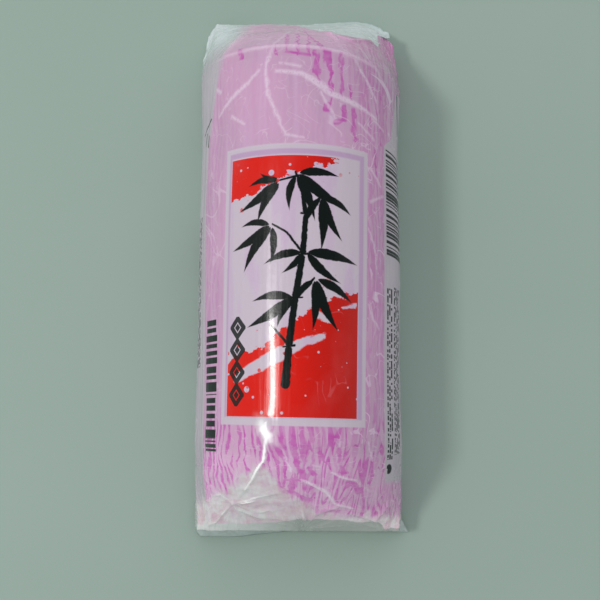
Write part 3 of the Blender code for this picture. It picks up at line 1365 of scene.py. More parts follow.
class SideStrip(FilmPrint):
    """Pale strip along a flank with small marks that hold no lettering."""

    name = "printed side strip"

    def colour(self) -> Field:
        """Print the strip's paper colour and its marks."""
        return self.desk.blend(self.small_marks(), self.paper(), self.inks.small_ink)

    def small_marks(self) -> Field:
        """Print the bars, broken lines and dot of the right strip.

        Returns:
            The mask.
        """
        desk, film = self.desk, self.film
        _, along = desk.parts(film)
        block = desk.group(self.shelf.box, place=film, left=29.2, right=50.0, low=-0.6, high=29.4, edge=0.1)
        values = {"W": along * 1.25, "Scale": 1.0, "Detail": 0.0}
        bars = desk.out("ShaderNodeTexNoise", values, noise_dimensions="1D") - 0.455
        bars = (bars * 16.0).held() * block
        dashes = self.column(film, InkMark.DASHES, 29.2, 33.4, -58.0, -9.0, 1.4)
        more = self.column(film, InkMark.DASHES, 34.6, 41.6, -56.0, -8.2, 1.4)
        bold = ((41.4, 50.4, 42.0, 46.0, 1.8, 1.1), (42.0, 46.0, 43.4, 38.0, 1.0, 0.8))
        lower = self.strokes(film, bold, 0.2)
        flank = self.column(film, InkMark.DASHES, -58.0, -36.6, -30.0, 12.0, 1.2)
        dot = desk.vector("SUBTRACT", film, (31.1, -62.4, 0.0))
        squash = desk.vector("MULTIPLY", dot, (1.0, 0.84, 1.0))
        ring = desk.vector("LENGTH", squash)
        dot_mask = ((2.05 - ring) * 5.0).held()
        total = bars | dashes
        for mask in (more, lower, flank, dot_mask):
            total = total | mask
        return total * 0.97


class FramedPanel(FilmPrint):
    """White-framed panel with red brush fields and an ink sprig."""

    name = "printed panel"
    STEM: tuple[Stroke, ...] = (
        (-2.9, -35.6, -2.3, -27.0, 2.3, 1.8), (-2.2, -25.4, -1.0, -14.6, 1.9, 1.7),
        (-0.8, -13.2, 0.6, -3.6, 1.8, 1.6), (0.8, -2.2, 1.3, 7.0, 1.6, 1.4),
        (1.2, 8.2, 0.1, 15.2, 1.3, 0.9), (0.0, 15.4, -1.6, 18.6, 0.9, 0.6),
        (-3.7, -26.3, -0.8, -25.9, 0.4, 0.7), (-2.3, -13.9, 0.9, -13.8, 0.8, 0.4),
        (-0.7, -2.9, 2.4, -2.6, 0.4, 0.7), (0.2, 7.8, 2.7, 7.6, 0.6, 0.4), (0.8, -2.6, -3.4, 2.8, 0.8, 0.6),
        (-3.4, 2.8, -7.2, 5.0, 0.6, 0.5), (1.3, 7.7, 5.2, 12.6, 0.8, 0.5),
        (-0.8, -13.8, 3.8, -8.8, 0.9, 0.6), (-0.8, 17.6, -5.6, 16.4, 0.7, 0.5),
        (-2.2, -25.9, -7.2, -20.6, 0.8, 0.5),
    )
    UPPER: tuple[Spot, ...] = (
        (-21.0, 11.7), (-15.4, 12.7), (-8.2, 15.1), (-3.4, 18.2), (3.0, 19.5), (7.8, 21.2), (11.0, 23.6),
    )
    LOWER: tuple[Spot, ...] = (
        (-21.0, -30.6), (-14.6, -27.2), (-9.0, -26.1), (-5.0, -22.7), (-0.2, -19.4), (4.6, -14.9),
        (10.2, -13.2), (16.6, -11.2),
    )
    CLUSTERS: tuple[tuple[float, float, tuple[Spot, ...]], ...] = (
        (-5.4, 16.4, ((188.0, 8.5), (213.0, 13.5), (241.0, 12.0), (158.0, 5.5))),
        (-1.4, 18.4, ((262.0, 9.5), (292.0, 13.0), (328.0, 16.0), (358.0, 11.0))),
        (5.4, 12.8, ((244.0, 9.5), (270.0, 14.0), (297.0, 12.5), (331.0, 9.0))),
        (-7.2, 5.0, ((182.0, 8.5), (208.0, 13.0), (237.0, 14.0), (268.0, 9.5))),
        (1.2, -2.0, ((198.0, 10.5), (224.0, 7.5), (322.0, 12.0), (350.0, 14.5))),
        (4.0, -8.6, ((236.0, 8.0), (268.0, 13.0), (296.0, 14.5), (330.0, 11.5))),
        (-0.9, -13.6, ((186.0, 11.0), (211.0, 14.5), (241.0, 8.5))),
    )

    def colour(self) -> Field:
        """Print the panel inside its white rim.

        Returns:
            The colour.
        """
        desk = self.desk
        inks, box = self.inks, self.shelf.box
        place = self.squared()
        lilac = desk.group(box, place=place, left=-21.1, right=18.1, low=-43.9, high=24.8, edge=0.45)
        inner = desk.group(box, place=place, left=-20.4, right=16.6, low=-43.8, high=23.4, edge=0.45)
        field_box = desk.group(box, place=place, left=-20.2, right=16.4, low=-43.7, high=23.0, edge=0.15)
        lilac = lilac * 0.85
        colour = desk.blend(lilac, inks.white, inks.lilac)
        veil = desk.noise(place, (0.16, 0.035), 2.0, 0.5, (3.0, 1.0)).step(0.5, 0.66) * 0.42
        paper = desk.blend(veil, inks.white, seen(196, 160, 200))
        colour = desk.blend(inner, colour, paper)
        red, thin = self.brush_fields(place)
        red = red * field_box
        tone = desk.parts(place)[0].step(-6.0, 15.0)
        deep = desk.blend(tone, inks.red, seen(188, 18, 8))
        washed = desk.blend(thin, deep, inks.red_thin)
        colour = desk.blend(self.sprig(place), desk.blend(red, colour, washed), inks.ink)
        marks = self.column(place, InkMark.LOZENGES, -19.4, -14.2, -41.2, -18.4, 5.7)
        return desk.blend(marks * 0.95, colour, inks.ink)

    def brush_fields(self, place: Field) -> tuple[Field, Field]:
        """Draw the two red fields with ragged brush edges and drops.

        Args:
            place: Where the surface is, squared to the panel.

        Returns:
            The mask, and where the red is thinner.
        """
        desk = self.desk
        across, along = desk.parts(place)
        ragged = (desk.noise(place, (0.36, 0.5), 4.0, 0.62, (2.0, 3.0)) - 0.5) * 7.0
        rough = ragged * 0.75
        top = along - desk.profile(across, self.UPPER) + rough
        low = desk.profile(across, self.LOWER) - along + rough
        red = ((top | low) * 4.0).held()
        sweep = (
            (-16.5, -34.0, -9.4, -30.6, 2.2, 3.4), (-9.4, -30.6, -3.6, -27.6, 3.4, 3.6),
            (-3.6, -27.6, 1.2, -25.2, 3.4, 2.2), (1.2, -25.2, 6.2, -23.4, 2.0, 1.6),
            (4.4, -17.8, 8.2, -19.4, 1.2, 1.6), (11.6, -15.8, 15.6, -14.9, 0.6, 1.1),
        )
        shake = desk.vector("ADD", place, desk.place(ragged, ragged))
        shaken = desk.add("ShaderNodeMix", {0: 0.32, 4: place, 5: shake}, data_type="VECTOR")
        dry = self.strokes(desk.field(shaken, 1), sweep, 0.4)
        flecks = desk.group(
            self.shelf.specks, place=place, pitch=5.6, most=1.0, share=0.42, shift=(13.0, 5.0, 0.0),
        )
        small = desk.group(
            self.shelf.specks, place=place, pitch=2.8, most=0.42, share=0.3, shift=(3.0, 25.0, 0.0),
        )
        rough = desk.noise(place, 1.1, 2.0, 0.6, (2.0, 8.0))
        flecks = flecks * rough.step(0.3, 0.45)
        red = red * (1.0 - (dry | (flecks | small)))
        splash = desk.group(
            self.shelf.specks, place=place, pitch=3.4, most=0.75, share=0.5, shift=(40.0, 9.0, 0.0),
        )
        near = top.step(-9.0, -1.0) | low.step(-9.0, -1.0)
        splash = splash * near
        red = red | (splash * 0.85)
        wash = desk.noise(place, (0.07, 0.05), 3.0, 0.5, (7.0, 7.0))
        thin = wash.step(0.48, 0.75) * 0.3
        hair = desk.group(
            self.shelf.hairs, place=place, size=0.11, thick=0.016, cover=0.52, shift=(1.0, 4.0, 0.0),
        )
        return red, thin | (hair * 0.85)

    def sprig(self, place: Field) -> Field:
        """Draw a bamboo sprig in black ink.

        Args:
            place: Where the surface is, squared to the panel.

        Returns:
            The mask.
        """
        desk = self.desk
        bristle = desk.noise(place, (0.8, 0.8), 3.0, 0.6, (5.0, 1.0)) - 0.5
        ragged = bristle * 0.5
        total: Input = 0.0
        for x, y, leaves in self.CLUSTERS:
            for number, (turn, length) in enumerate(leaves):
                way = math.radians(turn)
                mask = desk.group(
                    self.shelf.leaf, place=place,
                    root=(x + 0.9 * math.cos(way), y + 0.9 * math.sin(way), 0.0), turn=way, length=length,
                    wide=0.7 + 0.155 * length, bend=0.9 - 1.5 * (number % 2), ragged=ragged,
                )
                total = mask | total
        shift = desk.place(ragged, 0.0)
        return total | self.strokes(desk.vector("ADD", place, shift), self.STEM, 0.2)


@dataclass(frozen=True)
class ClearFilmFinish:
    """Milky unprinted film that lets the table show through."""

    name: str
    tint: Colour
    opacity: float
    gloss: Gloss = field(default_factory=Gloss)

    def build(self, shelf: EffectShelf) -> Material:
        """Make the clear film's material.

        Args:
            shelf: The shared effects.

        Returns:
            The material.
        """
        material = bpy.data.materials.new(self.name)
        material.use_nodes = True
        desk = NodeDesk(material.node_tree)
        coords = desk.add("ShaderNodeTexCoord", {})
        place = desk.vector("SCALE", desk.field(coords, "Object"), 1000.0)
        haze = desk.noise(place, 0.35, 3.0, 0.6, (2.0, 2.0))
        whitening_and_sheen = desk.field(desk.add("ShaderNodeAttribute", {}, attribute_name="whitening_and_sheen"), 2)
        milky = haze.line(0.3, self.opacity - 0.15)
        height = desk.group(shelf.ripple, place=place, lengthwise=0.4, grain=1.4)
        values = {"Strength": 0.4, "Distance": self.gloss.depth, "Height": height}
        desk.fill(
            material.node_tree.nodes["Principled BSDF"],
            {
                "Base Color": desk.blend(haze, self.tint, seen(206, 216, 216)),
                "Alpha": whitening_and_sheen.line(0.35, milky).held(), "Roughness": self.gloss.roughness,
                "Coat Weight": self.gloss.coat, "Coat Roughness": self.gloss.coat_roughness,
                "Normal": desk.out("ShaderNodeBump", values),
            },
        )
        return material


@dataclass
class FilmWrap:
    """The printed film over loaf and board, one closed skin."""

    form: LoafForm
    creases: tuple[Crease, ...] = (
        # The first crease paints the lamp's highlight running down the near fold and the second its bright
        # spot where the arch meets the near slope; the crease along the far crest and the other fold lines
        # are drawn pale, partly as whitening of creased film and partly as painted highlight.
        Crease(
            (
                (-8.1, -44.8), (-8.2, -49.2), (-9.1, -54.6), (-9.6, -57.4), (-11.2, -59.9), (-12.4, -62.2),
                (-14.0, -66.0), (-16.7, -70.8),
            ),
            0.45, 0.8, 2.4,
        ),
        Crease(((-9.4, -45.4), (-8.4, -47.2), (-7.0, -49.4)), 0.4, 2.9, 2.2),
        Crease(((-16.7, -70.8), (-18.4, -73.6), (-21.6, -77.9)), 0.5, 0.8, 0.8),
        Crease(((-19.9, -78.3), (-14.6, -76.6)), 0.5, 0.8, 2.0),
        Crease(((-21.6, -77.9), (-17.3, -76.6), (-13.6, -74.8), (-7.0, -73.0)), 0.4, 0.9, 1.5),
        Crease(((-21.6, -77.9), (-19.7, -67.3), (-17.9, -61.7)), 0.25, 0.8, 1.0),
        Crease(((-30.8, -76.0), (-25.9, -74.1), (-24.0, -76.0), (-21.6, -77.9)), 0.25, 0.9, 1.4),
        Crease(
            ((-21.6, -77.9), (-21.0, -81.0), (-17.9, -83.5), (-15.4, -85.3), (-6.8, -87.2)), 0.35, 0.9, 1.3,
        ),
        Crease(((-21.6, -77.9), (-14.8, -82.8), (-9.9, -82.2)), 0.3, 0.8, 1.2),
        Crease(((-22.2, -78.5), (-26.5, -84.1), (-30.2, -89.0), (-38.8, -91.5)), 0.35, 0.9, 1.5),
        Crease(((-15.4, -82.8), (-11.1, -81.6), (-6.8, -87.2)), 0.3, 0.8, 1.2),
        Crease(((2.2, -82.6), (3.7, -87.2)), 0.5, 0.8, 1.4),
        Crease(((1.2, -67.3), (4.9, -68.6), (9.9, -72.9), (12.9, -78.5), (17.9, -81.0)), 0.4, 0.8, 0.75),
        Crease(((9.9, -63.0), (13.6, -65.5), (17.3, -66.7), (23.4, -72.9)), 0.3, 0.8, 0.6),
        Crease(((8.0, -84.1), (11.1, -81.6), (14.2, -80.3)), 0.5, 0.9, 0.8),
        Crease(((18.5, -83.5), (24.0, -85.9), (30.0, -88.0)), 0.6, 1.0, 0.8),
        Crease(((30.0, -92.0), (27.0, -87.0), (33.0, -80.0)), 0.5, 0.9, 0.5),
        Crease(((-28.4, 52.4), (-19.1, 52.4), (3.7, 52.6), (17.3, 51.8), (27.1, 51.2)), 0.12, 0.9, 0.26),
        Crease(((10.5, 73.5), (16.6, 68.6), (22.8, 74.2), (29.6, 81.6)), 0.7, 0.9, 0.9),
        Crease(((8.0, 81.0), (10.5, 73.5), (12.0, 66.0)), 0.45, 0.8, 0.5),
        Crease(((-20.3, 78.0), (-21.6, 66.0), (-24.7, 54.0)), 0.4, 0.9, 0.5),
        Crease(((33.9, 84.7), (38.0, 78.0), (43.2, 82.2)), 0.6, 0.9, 0.8),
    )
    gathers: tuple[tuple[float, float, float, float, int], ...] = (
        (-21.6, -77.9, 20.0, 0.55, 21), (40.0, -90.0, 26.0, 0.45, 24), (-44.0, -92.0, 22.0, 0.4, 27),
        (4.0, -93.0, 16.0, 0.35, 30), (-26.0, 84.0, 20.0, 0.18, 33), (25.0, 90.0, 20.0, 0.26, 36),
        (47.0, 88.0, 22.0, 0.18, 39),
    )

    def relief(self, across: Grid, along: Grid) -> tuple[Grid, Grid]:
        """Work out the film's folds.

        Args:
            across: Film place across, in millimetres.
            along: Film place along, in millimetres.

        Returns:
            The height off the smooth form and the whitening along folds, partly whitening of creased film
            and partly painted highlight.
        """
        form = self.form
        near = ease((form.crest_near - 4.0 - along) / 20.0)
        far = ease((along - form.crest_far - 1.0) / 16.0)
        ends = np.maximum(near, far)
        low = ease((np.abs(across) - 38.0) / 14.0)
        height = 0.26 * lattice_noise(across / 24.0, along / 38.0 + 3.0, 5)
        height += 0.045 * lattice_noise(across / 2.6, along / 46.0 + 9.0, 8)
        height += 0.028 * lattice_noise(across / 1.6, along / 22.0 + 4.0, 9)
        folds = crumple(across / 12.0 + 3.0, along / 11.0 + 2.0, 3)
        fine = crumple(across / 5.0 + 8.0, along / 5.0 + 5.0, 4)
        height += ends * (0.26 * (folds - 0.35) + 0.07 * (fine - 0.35))
        side = crumple(across / 6.0 + 1.0, along / 15.0 + 7.0, 6)
        height += low * 0.3 * (side - 0.4)
        height += low * 0.1 * (crumple(across / 3.0, along / 5.0, 10) - 0.4)
        whitening_and_sheen = ends * np.clip(fine * 1.6 - 1.15, 0.0, 1.0)
        whitening_and_sheen *= np.where(along > 0.0, 0.08, 0.22)
        whitening_and_sheen += low * np.clip(side * 1.6 - 1.1, 0.0, 1.0) * 0.25
        for x, y, reach, lift, seed in self.gathers:
            folds = fan(across, along, (x, y), reach, seed)
            height += 0.7 * lift * folds
            whitening_and_sheen = np.maximum(whitening_and_sheen, (0.4 if y < 0.0 else 0.12) * folds)
        torn = 1.0 + 0.42 * lattice_noise(across / 0.9 + 5.0, along / 1.3 + 1.0, 44)
        for crease in self.creases:
            gap, where = polyline_gap(across, along, crease.points)
            fade = 0.35 + 0.65 * np.sin(np.pi * np.clip(where, 0.06, 0.94)) ** 0.5
            ridge = np.exp(-(gap / crease.width) ** 1.35)
            height += crease.height * ridge * fade
            core = np.exp(-(gap / (crease.width * 0.55 * torn)) ** 2)
            whitening_and_sheen = np.maximum(whitening_and_sheen, crease.white_and_sheen * core * fade)
        return height, np.clip(whitening_and_sheen, 0.0, 2.0)

    def build(self, prints: dict[PrintPart, Material]) -> Piece:
        """Model the skin and dress it.

        Args:
            prints: The material of each printed part.

        Returns:
            The finished piece.
        """
        form, walls = self.form, self.form.wall_steps
        points, across, along = form.grid()
        for _ in range(2):
            mid = points.copy()
            mid[1:-1] = (points[:-2] + 2 * points[1:-1] + points[2:]) / 4
            points[walls + 1 : -walls - 1] = mid[walls + 1 : -walls - 1]
            mid = points.copy()
            mid[:, 1:-1] = (points[:, :-2] + 2 * points[:, 1:-1] + points[:, 2:]) / 4
            body = (slice(walls + 1, -walls - 1), slice(2, -2))
            points[body] = mid[body]
        rows, columns = points.shape[:2]
        run_across = np.gradient(points, axis=1)
        run_along = np.gradient(points, axis=0)
        normal = np.cross(run_across, run_along)
        normal /= np.maximum(np.linalg.norm(normal, axis=-1, keepdims=True), 1e-9)
        height, whitening_and_sheen = self.relief(across, along)
        row = np.arange(rows)[:, None] * np.ones((1, columns))
        column = np.ones((rows, 1)) * np.arange(columns)[None]
        rim = np.minimum.reduce([row, rows - 1 - row, column, columns - 1 - column])
        corner = np.maximum(
            np.minimum(np.abs(row - walls), np.abs(rows - 1 - walls - row)),
            np.minimum(np.abs(column - walls), np.abs(columns - 1 - walls - column)),
        )
        in_wall = (column < walls) | (column > columns - 1 - walls)
        end_wall = (row < walls) | (row > rows - 1 - walls)
        hold = ease(rim / 5.0) * np.where(in_wall | end_wall, ease(corner / 6.0), 1.0)
        keep = np.where(in_wall & ~end_wall, ease(self.end_gap(row, rows) / 5.0), 1.0)
        keep = np.where(end_wall & ~in_wall, ease(self.end_gap(column, columns) / 5.0), keep)
        touch = (self.end_gap(row, rows) + self.end_gap(column, columns)) / 5.0
        height = height * hold * keep * ease(touch)
        points = points + normal * height[..., None]
        points[..., 0] += form.axis_x
        skin = Workbench.sheet("film_wrap", columns - 1, rows - 1)
        self.chart(skin, across, along)
        mark = skin.data.attributes.new("whitening_and_sheen", "FLOAT", "POINT")
        mark.data.foreach_set("value", whitening_and_sheen.ravel())
        self.cut_corners(skin, rows, columns, walls)
        Workbench.lay(skin, points * MM)
        Workbench.outward(skin, doubles=2e-5)
        self.close_foot(skin)
        Workbench.take(skin)
        bpy.ops.object.shade_smooth()
        self.dress(skin, prints)
        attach(skin, "root")
        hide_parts("wrapped_loaf")
        return skin

    @staticmethod
    def dress(skin: Piece, prints: dict[PrintPart, Material]) -> None:
        """Give each face the material of the part that is printed on it.

        Args:
            skin: The finished skin.
            prints: The material of each printed part.
        """
        mesh = skin.data
        mesh.materials.clear()
        order = list(prints)
        for part in order:
            mesh.materials.append(prints[part])
        first = np.empty(len(mesh.polygons), dtype=np.int32)
        mesh.polygons.foreach_get("loop_start", first)
        flat = np.empty(len(mesh.loops) * 2)
        mesh.uv_layers["film"].data.foreach_get("uv", flat)
        place = (flat.reshape(-1, 2)[first] - 0.5) * PRINT_SPAN
        across, along = place[:, 0], place[:, 1]
        square_x = across - PRINT_TILT * (along + PRINT_TURN)
        square_y = along + PRINT_TILT * across
        left, right, low, high = FilmPrint.PANEL
        part = np.full(len(first), order.index(PrintPart.GROUND), dtype=np.int32)
        part[along < NEAR_CUT] = order.index(PrintPart.NEAR_END)
        part[along > FAR_CUT] = order.index(PrintPart.FAR_END)
        rim_along, rim = zip(*FilmPrint.RIGHT_RIM)
        strip = across > np.interp(along, rim_along, rim) + 1.0
        strip &= (along > -66.5) & (along < 55.0)
        strip |= (across < -38.5) & (along > -62.0) & (along < 60.0)
        part[strip] = order.index(PrintPart.STRIP)
        inside = (square_x > left + 0.9) & (square_x < right - 0.9)
        inside &= (square_y > low + 0.9) & (square_y < high - 0.9)
        part[inside] = order.index(PrintPart.PANEL)
        mesh.polygons.foreach_set("material_index", part)
        mesh.update()

    def end_gap(self, index: Grid, count: int) -> Grid:
        """Count the steps from a wall's own corner line."""
        walls = self.form.wall_steps
        return np.minimum(np.abs(index - walls), np.abs(count - 1 - walls - index))

    @staticmethod
    def chart(skin: Piece, across: Grid, along: Grid) -> None:
        """Scale the sheet's map to film millimetres.

        Args:
            skin: The sheet.
            across: Film place across of each vertex.
            along: Film place along of each vertex.
        """
        layer = skin.data.uv_layers["film"]
        flat = np.empty(len(layer.data) * 2)
        layer.data.foreach_get("uv", flat)
        wide = float(across[0, -1] - across[0, 0])
        long = float(along[-1, 0] - along[0, 0])
        flat[0::2] = (across[0, 0] + flat[0::2] * wide) / PRINT_SPAN + 0.5
        flat[1::2] = (along[0, 0] + flat[1::2] * long) / PRINT_SPAN + 0.5
        layer.data.foreach_set("uv", flat)

    @staticmethod
    def cut_corners(skin: Piece, rows: int, columns: int, walls: int) -> None:
        """Cut the four corner squares out of the flat sheet.

        Args:
            skin: The sheet, still a unit square.
            rows: Vertices along.
            columns: Vertices across.
            walls: Steps in each low wall.
        """
        wide = 0.5 - walls / (columns - 1)
        long = 0.5 - walls / (rows - 1)
        Workbench.edit(skin, lambda spot: abs(spot.x) > wide and abs(spot.y) > long)
        bpy.ops.mesh.delete(type="FACE")
        bpy.ops.object.mode_set(mode="OBJECT")

    @staticmethod
    def close_foot(skin: Piece) -> None:
        """Close the open foot of the skin with one flat face.

        Args:
            skin: The folded skin.
        """
        Workbench.take(skin)
        bpy.ops.object.mode_set(mode="EDIT")
        bpy.ops.mesh.select_mode(type="EDGE")
        bpy.ops.mesh.select_all(action="DESELECT")
        bpy.ops.mesh.select_non_manifold()
        bpy.ops.mesh.edge_face_add()
        bpy.ops.mesh.select_all(action="SELECT")
        bpy.ops.mesh.normals_make_consistent(inside=False)
        bpy.ops.object.mode_set(mode="OBJECT")


@dataclass
class FilmFin:
    """A thin piece of unprinted film that stands out from an end."""

    name: str
    inner: tuple[Point, ...]
    outer: tuple[Point, ...]
    columns: int = 90
    rows: int = 10
    wave: float = 0.35
    seed: int = 1
    thickness: float = 0.1
    axis_x: float = -0.7

    @staticmethod
    def along(points: Sequence[Sequence[float]], count: int) -> Grid:
        """Spread places evenly along a bent line.

        Args:
            points: The line's corners.
            count: How many places to put out.

        Returns:
            The places, one a row.
        """
        line = np.array(points, float)
        run = np.concatenate([[0.0], np.cumsum(np.linalg.norm(np.diff(line, axis=0), axis=1))])
        where = np.linspace(0.0, run[-1], count)
        return np.stack([np.interp(where, run, line[:, i]) for i in range(3)], -1)

    def build(self, finish: Material) -> Piece:
        """Model the fin and dress it.

        Args:
            finish: The clear film.

        Returns:
            The finished piece.
        """
        inner = self.along(self.inner, self.columns + 1)
        outer = self.along(self.outer, self.columns + 1)
        share = np.linspace(0.0, 1.0, self.rows + 1)[:, None, None]
        points = inner[None] * (1 - share) + outer[None] * share
        across = np.linspace(0.0, self.columns / 9.0, self.columns + 1)[None]
        depth = share[..., 0] * 1.4
        fold = crumple(across + depth * 0.3, depth + across * 0.0, self.seed)
        lift = self.wave * (fold - 0.3) * np.sin(np.pi * np.clip(depth / 1.4, 0.0, 0.85))
        points[..., 2] += lift
        points[..., 1] += lift * 0.4
        points[..., 2] = np.maximum(points[..., 2], 0.08)
        points[..., 0] += self.axis_x
        piece = Workbench.sheet(self.name, self.columns, self.rows)
        mark = piece.data.attributes.new("whitening_and_sheen", "FLOAT", "POINT")
        fade = np.clip(fold * 1.5 - 0.9, 0.0, 1.0) + 0.0 * across
        edge = np.maximum(0.0, share[..., 0] - 0.86) * 5.0 + 0.0 * across
        mark.data.foreach_set("value", np.maximum(fade, edge).ravel())
        Workbench.lay(piece, points * MM)
        wall = piece.modifiers.new("film", "SOLIDIFY")
        wall.thickness = self.thickness * MM
        wall.offset = 0.0
        Workbench.settle(piece)
        Workbench.outward(piece)
        bpy.ops.object.shade_smooth()
        piece.data.materials.clear()
        piece.data.materials.append(finish)
        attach(piece, "root")
        return piece


@dataclass
class Underside:
    """The film folded and sealed under the board."""

    form: LoafForm
    seam_wide: float = 9.0
    tuck_long: float = 24.0

    def strip(
        self, name: str, corners: Sequence[Spot], low: float, high: float, finish: Material, crimps: bool,
    ) -> Piece:
        """Model one thin layer of film that lies flat under the board.

        Args:
            name: The piece's name.
            corners: Its four corners, in millimetres.
            low: Height of its lower face.
            high: Height of its upper face.
            finish: Its material.
            crimps: Whether fine sealing ribs run across it.

        Returns:
            The finished piece.
        """
        columns, rows = (28, 150) if crimps else (60, 36)
        (ax, ay), (bx, by), (cx, cy), (dx, dy) = corners
        u, v = np.meshgrid(np.linspace(0, 1, columns + 1), np.linspace(0, 1, rows + 1))
        x = (ax * (1 - u) + bx * u) * (1 - v) + (dx * (1 - u) + cx * u) * v
        y = (ay * (1 - u) + by * u) * (1 - v) + (dy * (1 - u) + cy * u) * v
        z = np.full(x.shape, low)
        if crimps:
            ribs = 0.5 + 0.5 * np.sin(y * 2 * np.pi / 2.2)
            z += (high - low) * 0.45 * ribs * ease(np.sin(np.pi * u) * 3.0)
        else:
            z += (high - low) * 0.6 * np.clip(crumple(x / 9.0, y / 7.0, 11), 0.0, 1.0)
        x += self.form.axis_x
        piece = Workbench.sheet(name, columns, rows)
        mark = piece.data.attributes.new("whitening_and_sheen", "FLOAT", "POINT")
        mark.data.foreach_set("value", np.zeros(x.size))
        Workbench.lay(piece, np.dstack([x, y, z]) * MM)
        Workbench.take(piece)
        bpy.ops.object.mode_set(mode="EDIT")
        bpy.ops.mesh.select_all(action="SELECT")
        bpy.ops.mesh.extrude_region_move(
            TRANSFORM_OT_translate={"value": (0.0, 0.0, (high - low) * 0.7 * MM)}
        )
        bpy.ops.object.mode_set(mode="OBJECT")
        Workbench.outward(piece)
        bpy.ops.object.shade_smooth_by_angle(angle=math.radians(40.0))
        piece.data.materials.clear()
        piece.data.materials.append(finish)
        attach(piece, "root")
        return piece

    def build(self, finish: Material) -> list[Piece]:
        """Model the lap seam and the two tucked ends.

        Args:
            finish: The film's material there.

        Returns:
            The finished pieces.
        """
        form = self.form
        half, near, far = form.board_half - 0.8, form.end_near, form.end_far
        wide, long = self.seam_wide / 2.0, self.tuck_long
        lap = ((-wide, near + 2.0), (wide, near + 2.0), (wide, far - 2.0), (-wide, far - 2.0))
        near_fold = ((half * 0.62, near + long), (-half * 0.66, near + long - 1.5))
        far_fold = ((-half * 0.64, far - long + 1.0), (half * 0.6, far - long))
        near_tuck = ((-half, near + 0.3), (half, near + 0.3), *near_fold)
        far_tuck = (*far_fold, (half, far - 0.3), (-half, far - 0.3))
        return [
            self.strip("lap_seam", lap, 0.18, 0.42, finish, True),
            self.strip("near_tuck", near_tuck, 0.03, 0.3, finish, False),
            self.strip("far_tuck", far_tuck, 0.03, 0.3, finish, False),
        ]


@dataclass(frozen=True)
class Studio:
    """Table, light and camera."""

    table_size: float = 3.0
    camera_place: Point = (-0.00037, -0.0452, 0.2724)
    tilt: float = 7.739
    roll: float = -0.23
    focal_pixels: float = 910.7
    frame_pixels: float = 600.0
    sensor: float = 36.0

    def table(self) -> Piece:
        """Lay the plain pale table.
        """
        Workbench.clear_selection()
        bpy.ops.mesh.primitive_grid_add(x_subdivisions=8, y_subdivisions=8, size=self.table_size)
        top = bpy.context.object
        top.name = "table"
        material = bpy.data.materials.new("pale table")
        material.use_nodes = True
        desk = NodeDesk(material.node_tree)
        coords = desk.add("ShaderNodeTexCoord", {})
        scaled = desk.vector("SCALE", desk.field(coords, "Object"), 100.0)
        cloud = desk.noise(scaled, 0.08, 3.0, 0.55, (1.0, 1.0))
        desk.fill(
            material.node_tree.nodes["Principled BSDF"],
            {
                "Base Color": desk.blend(cloud, seen(147, 166, 156), seen(153, 170, 162)),
                "Roughness": 0.62, "Specular IOR Level": 0.25,
            },
        )
        top.data.materials.append(material)
        return top

    def lamp(
        self, name: str, place: Point, size: Spot, power: float, colour: Point,
        aim: Point = (0.0, 0.0, 0.02),
    ) -> None:
        """Hang one soft lamp that faces the loaf.

        Args:
            name: The lamp's name.
            place: Where it hangs, in metres.
            size: Width and height.
            power: Watts.
            colour: Tint of its light.
            aim: The place that it faces.
        """
        Workbench.clear_selection()
        bpy.ops.object.light_add(type="AREA", location=place)
        lamp = bpy.context.object
        lamp.name = name
        lamp.data.shape = "RECTANGLE"
        lamp.data.size, lamp.data.size_y = size
        lamp.data.energy = power
        lamp.data.color = colour
        way = Vector(aim) - Vector(place)
        lamp.rotation_euler = way.to_track_quat("-Z", "Y").to_euler()

    def lights(self) -> None:
        """Set the soft room light and the lamp high on the left."""
        self.lamp("lamp", (-0.675, 0.03, 1.0), (0.19, 0.17), 3.8, (1.0, 0.99, 0.97))
        world = bpy.data.worlds.new("soft room")
        bpy.context.scene.world = world
        world.use_nodes = True
        desk = NodeDesk(world.node_tree)
        coords = desk.add("ShaderNodeTexCoord", {})
        split = desk.add("ShaderNodeSeparateXYZ", {0: desk.field(coords, "Generated")})
        along, upward = desk.field(split, 1), desk.field(split, 2)
        ends = abs(along) ** 1.5
        room = along.line(0.24, ends.line(0.63, 0.39))
        mirrored = upward.step(0.25, 0.8).line(-0.2, 0.26)
        glossy = desk.field(desk.add("ShaderNodeLightPath", {}), "Is Glossy Ray")
        values = {0: glossy, 2: room, 3: mirrored}
        strength = desk.add("ShaderNodeMix", values, data_type="FLOAT")
        colour = (0.97, 1.0, 1.0, 1.0)
        desk.fill(world.node_tree.nodes["Background"], {0: colour, 1: desk.field(strength)})

    def camera(self) -> None:
        """Set the camera at the photograph's own place, turned as it was."""
        Workbench.clear_selection()
        bpy.ops.object.camera_add(location=self.camera_place)
        camera = bpy.context.object
        tilt, roll = math.radians(self.tilt), math.radians(self.roll)
        ahead = Vector((0.0, math.sin(tilt), -math.cos(tilt)))
        up = Vector((0.0, math.cos(tilt), math.sin(tilt)))
        right = Vector((1.0, 0.0, 0.0))
        up_turned = up * math.cos(roll) + right * math.sin(roll)
        right_turned = right * math.cos(roll) - up * math.sin(roll)
        turn = Matrix((right_turned, up_turned, -ahead)).transposed()
        camera.rotation_euler = turn.to_euler()
        camera.data.sensor_width = self.sensor
        camera.data.lens = self.focal_pixels / self.frame_pixels * self.sensor
        camera.data.shift_x = -0.47 / self.frame_pixels
        camera.data.clip_start = 0.01
        camera.data.dof.use_dof = False
        bpy.context.scene.camera = camera


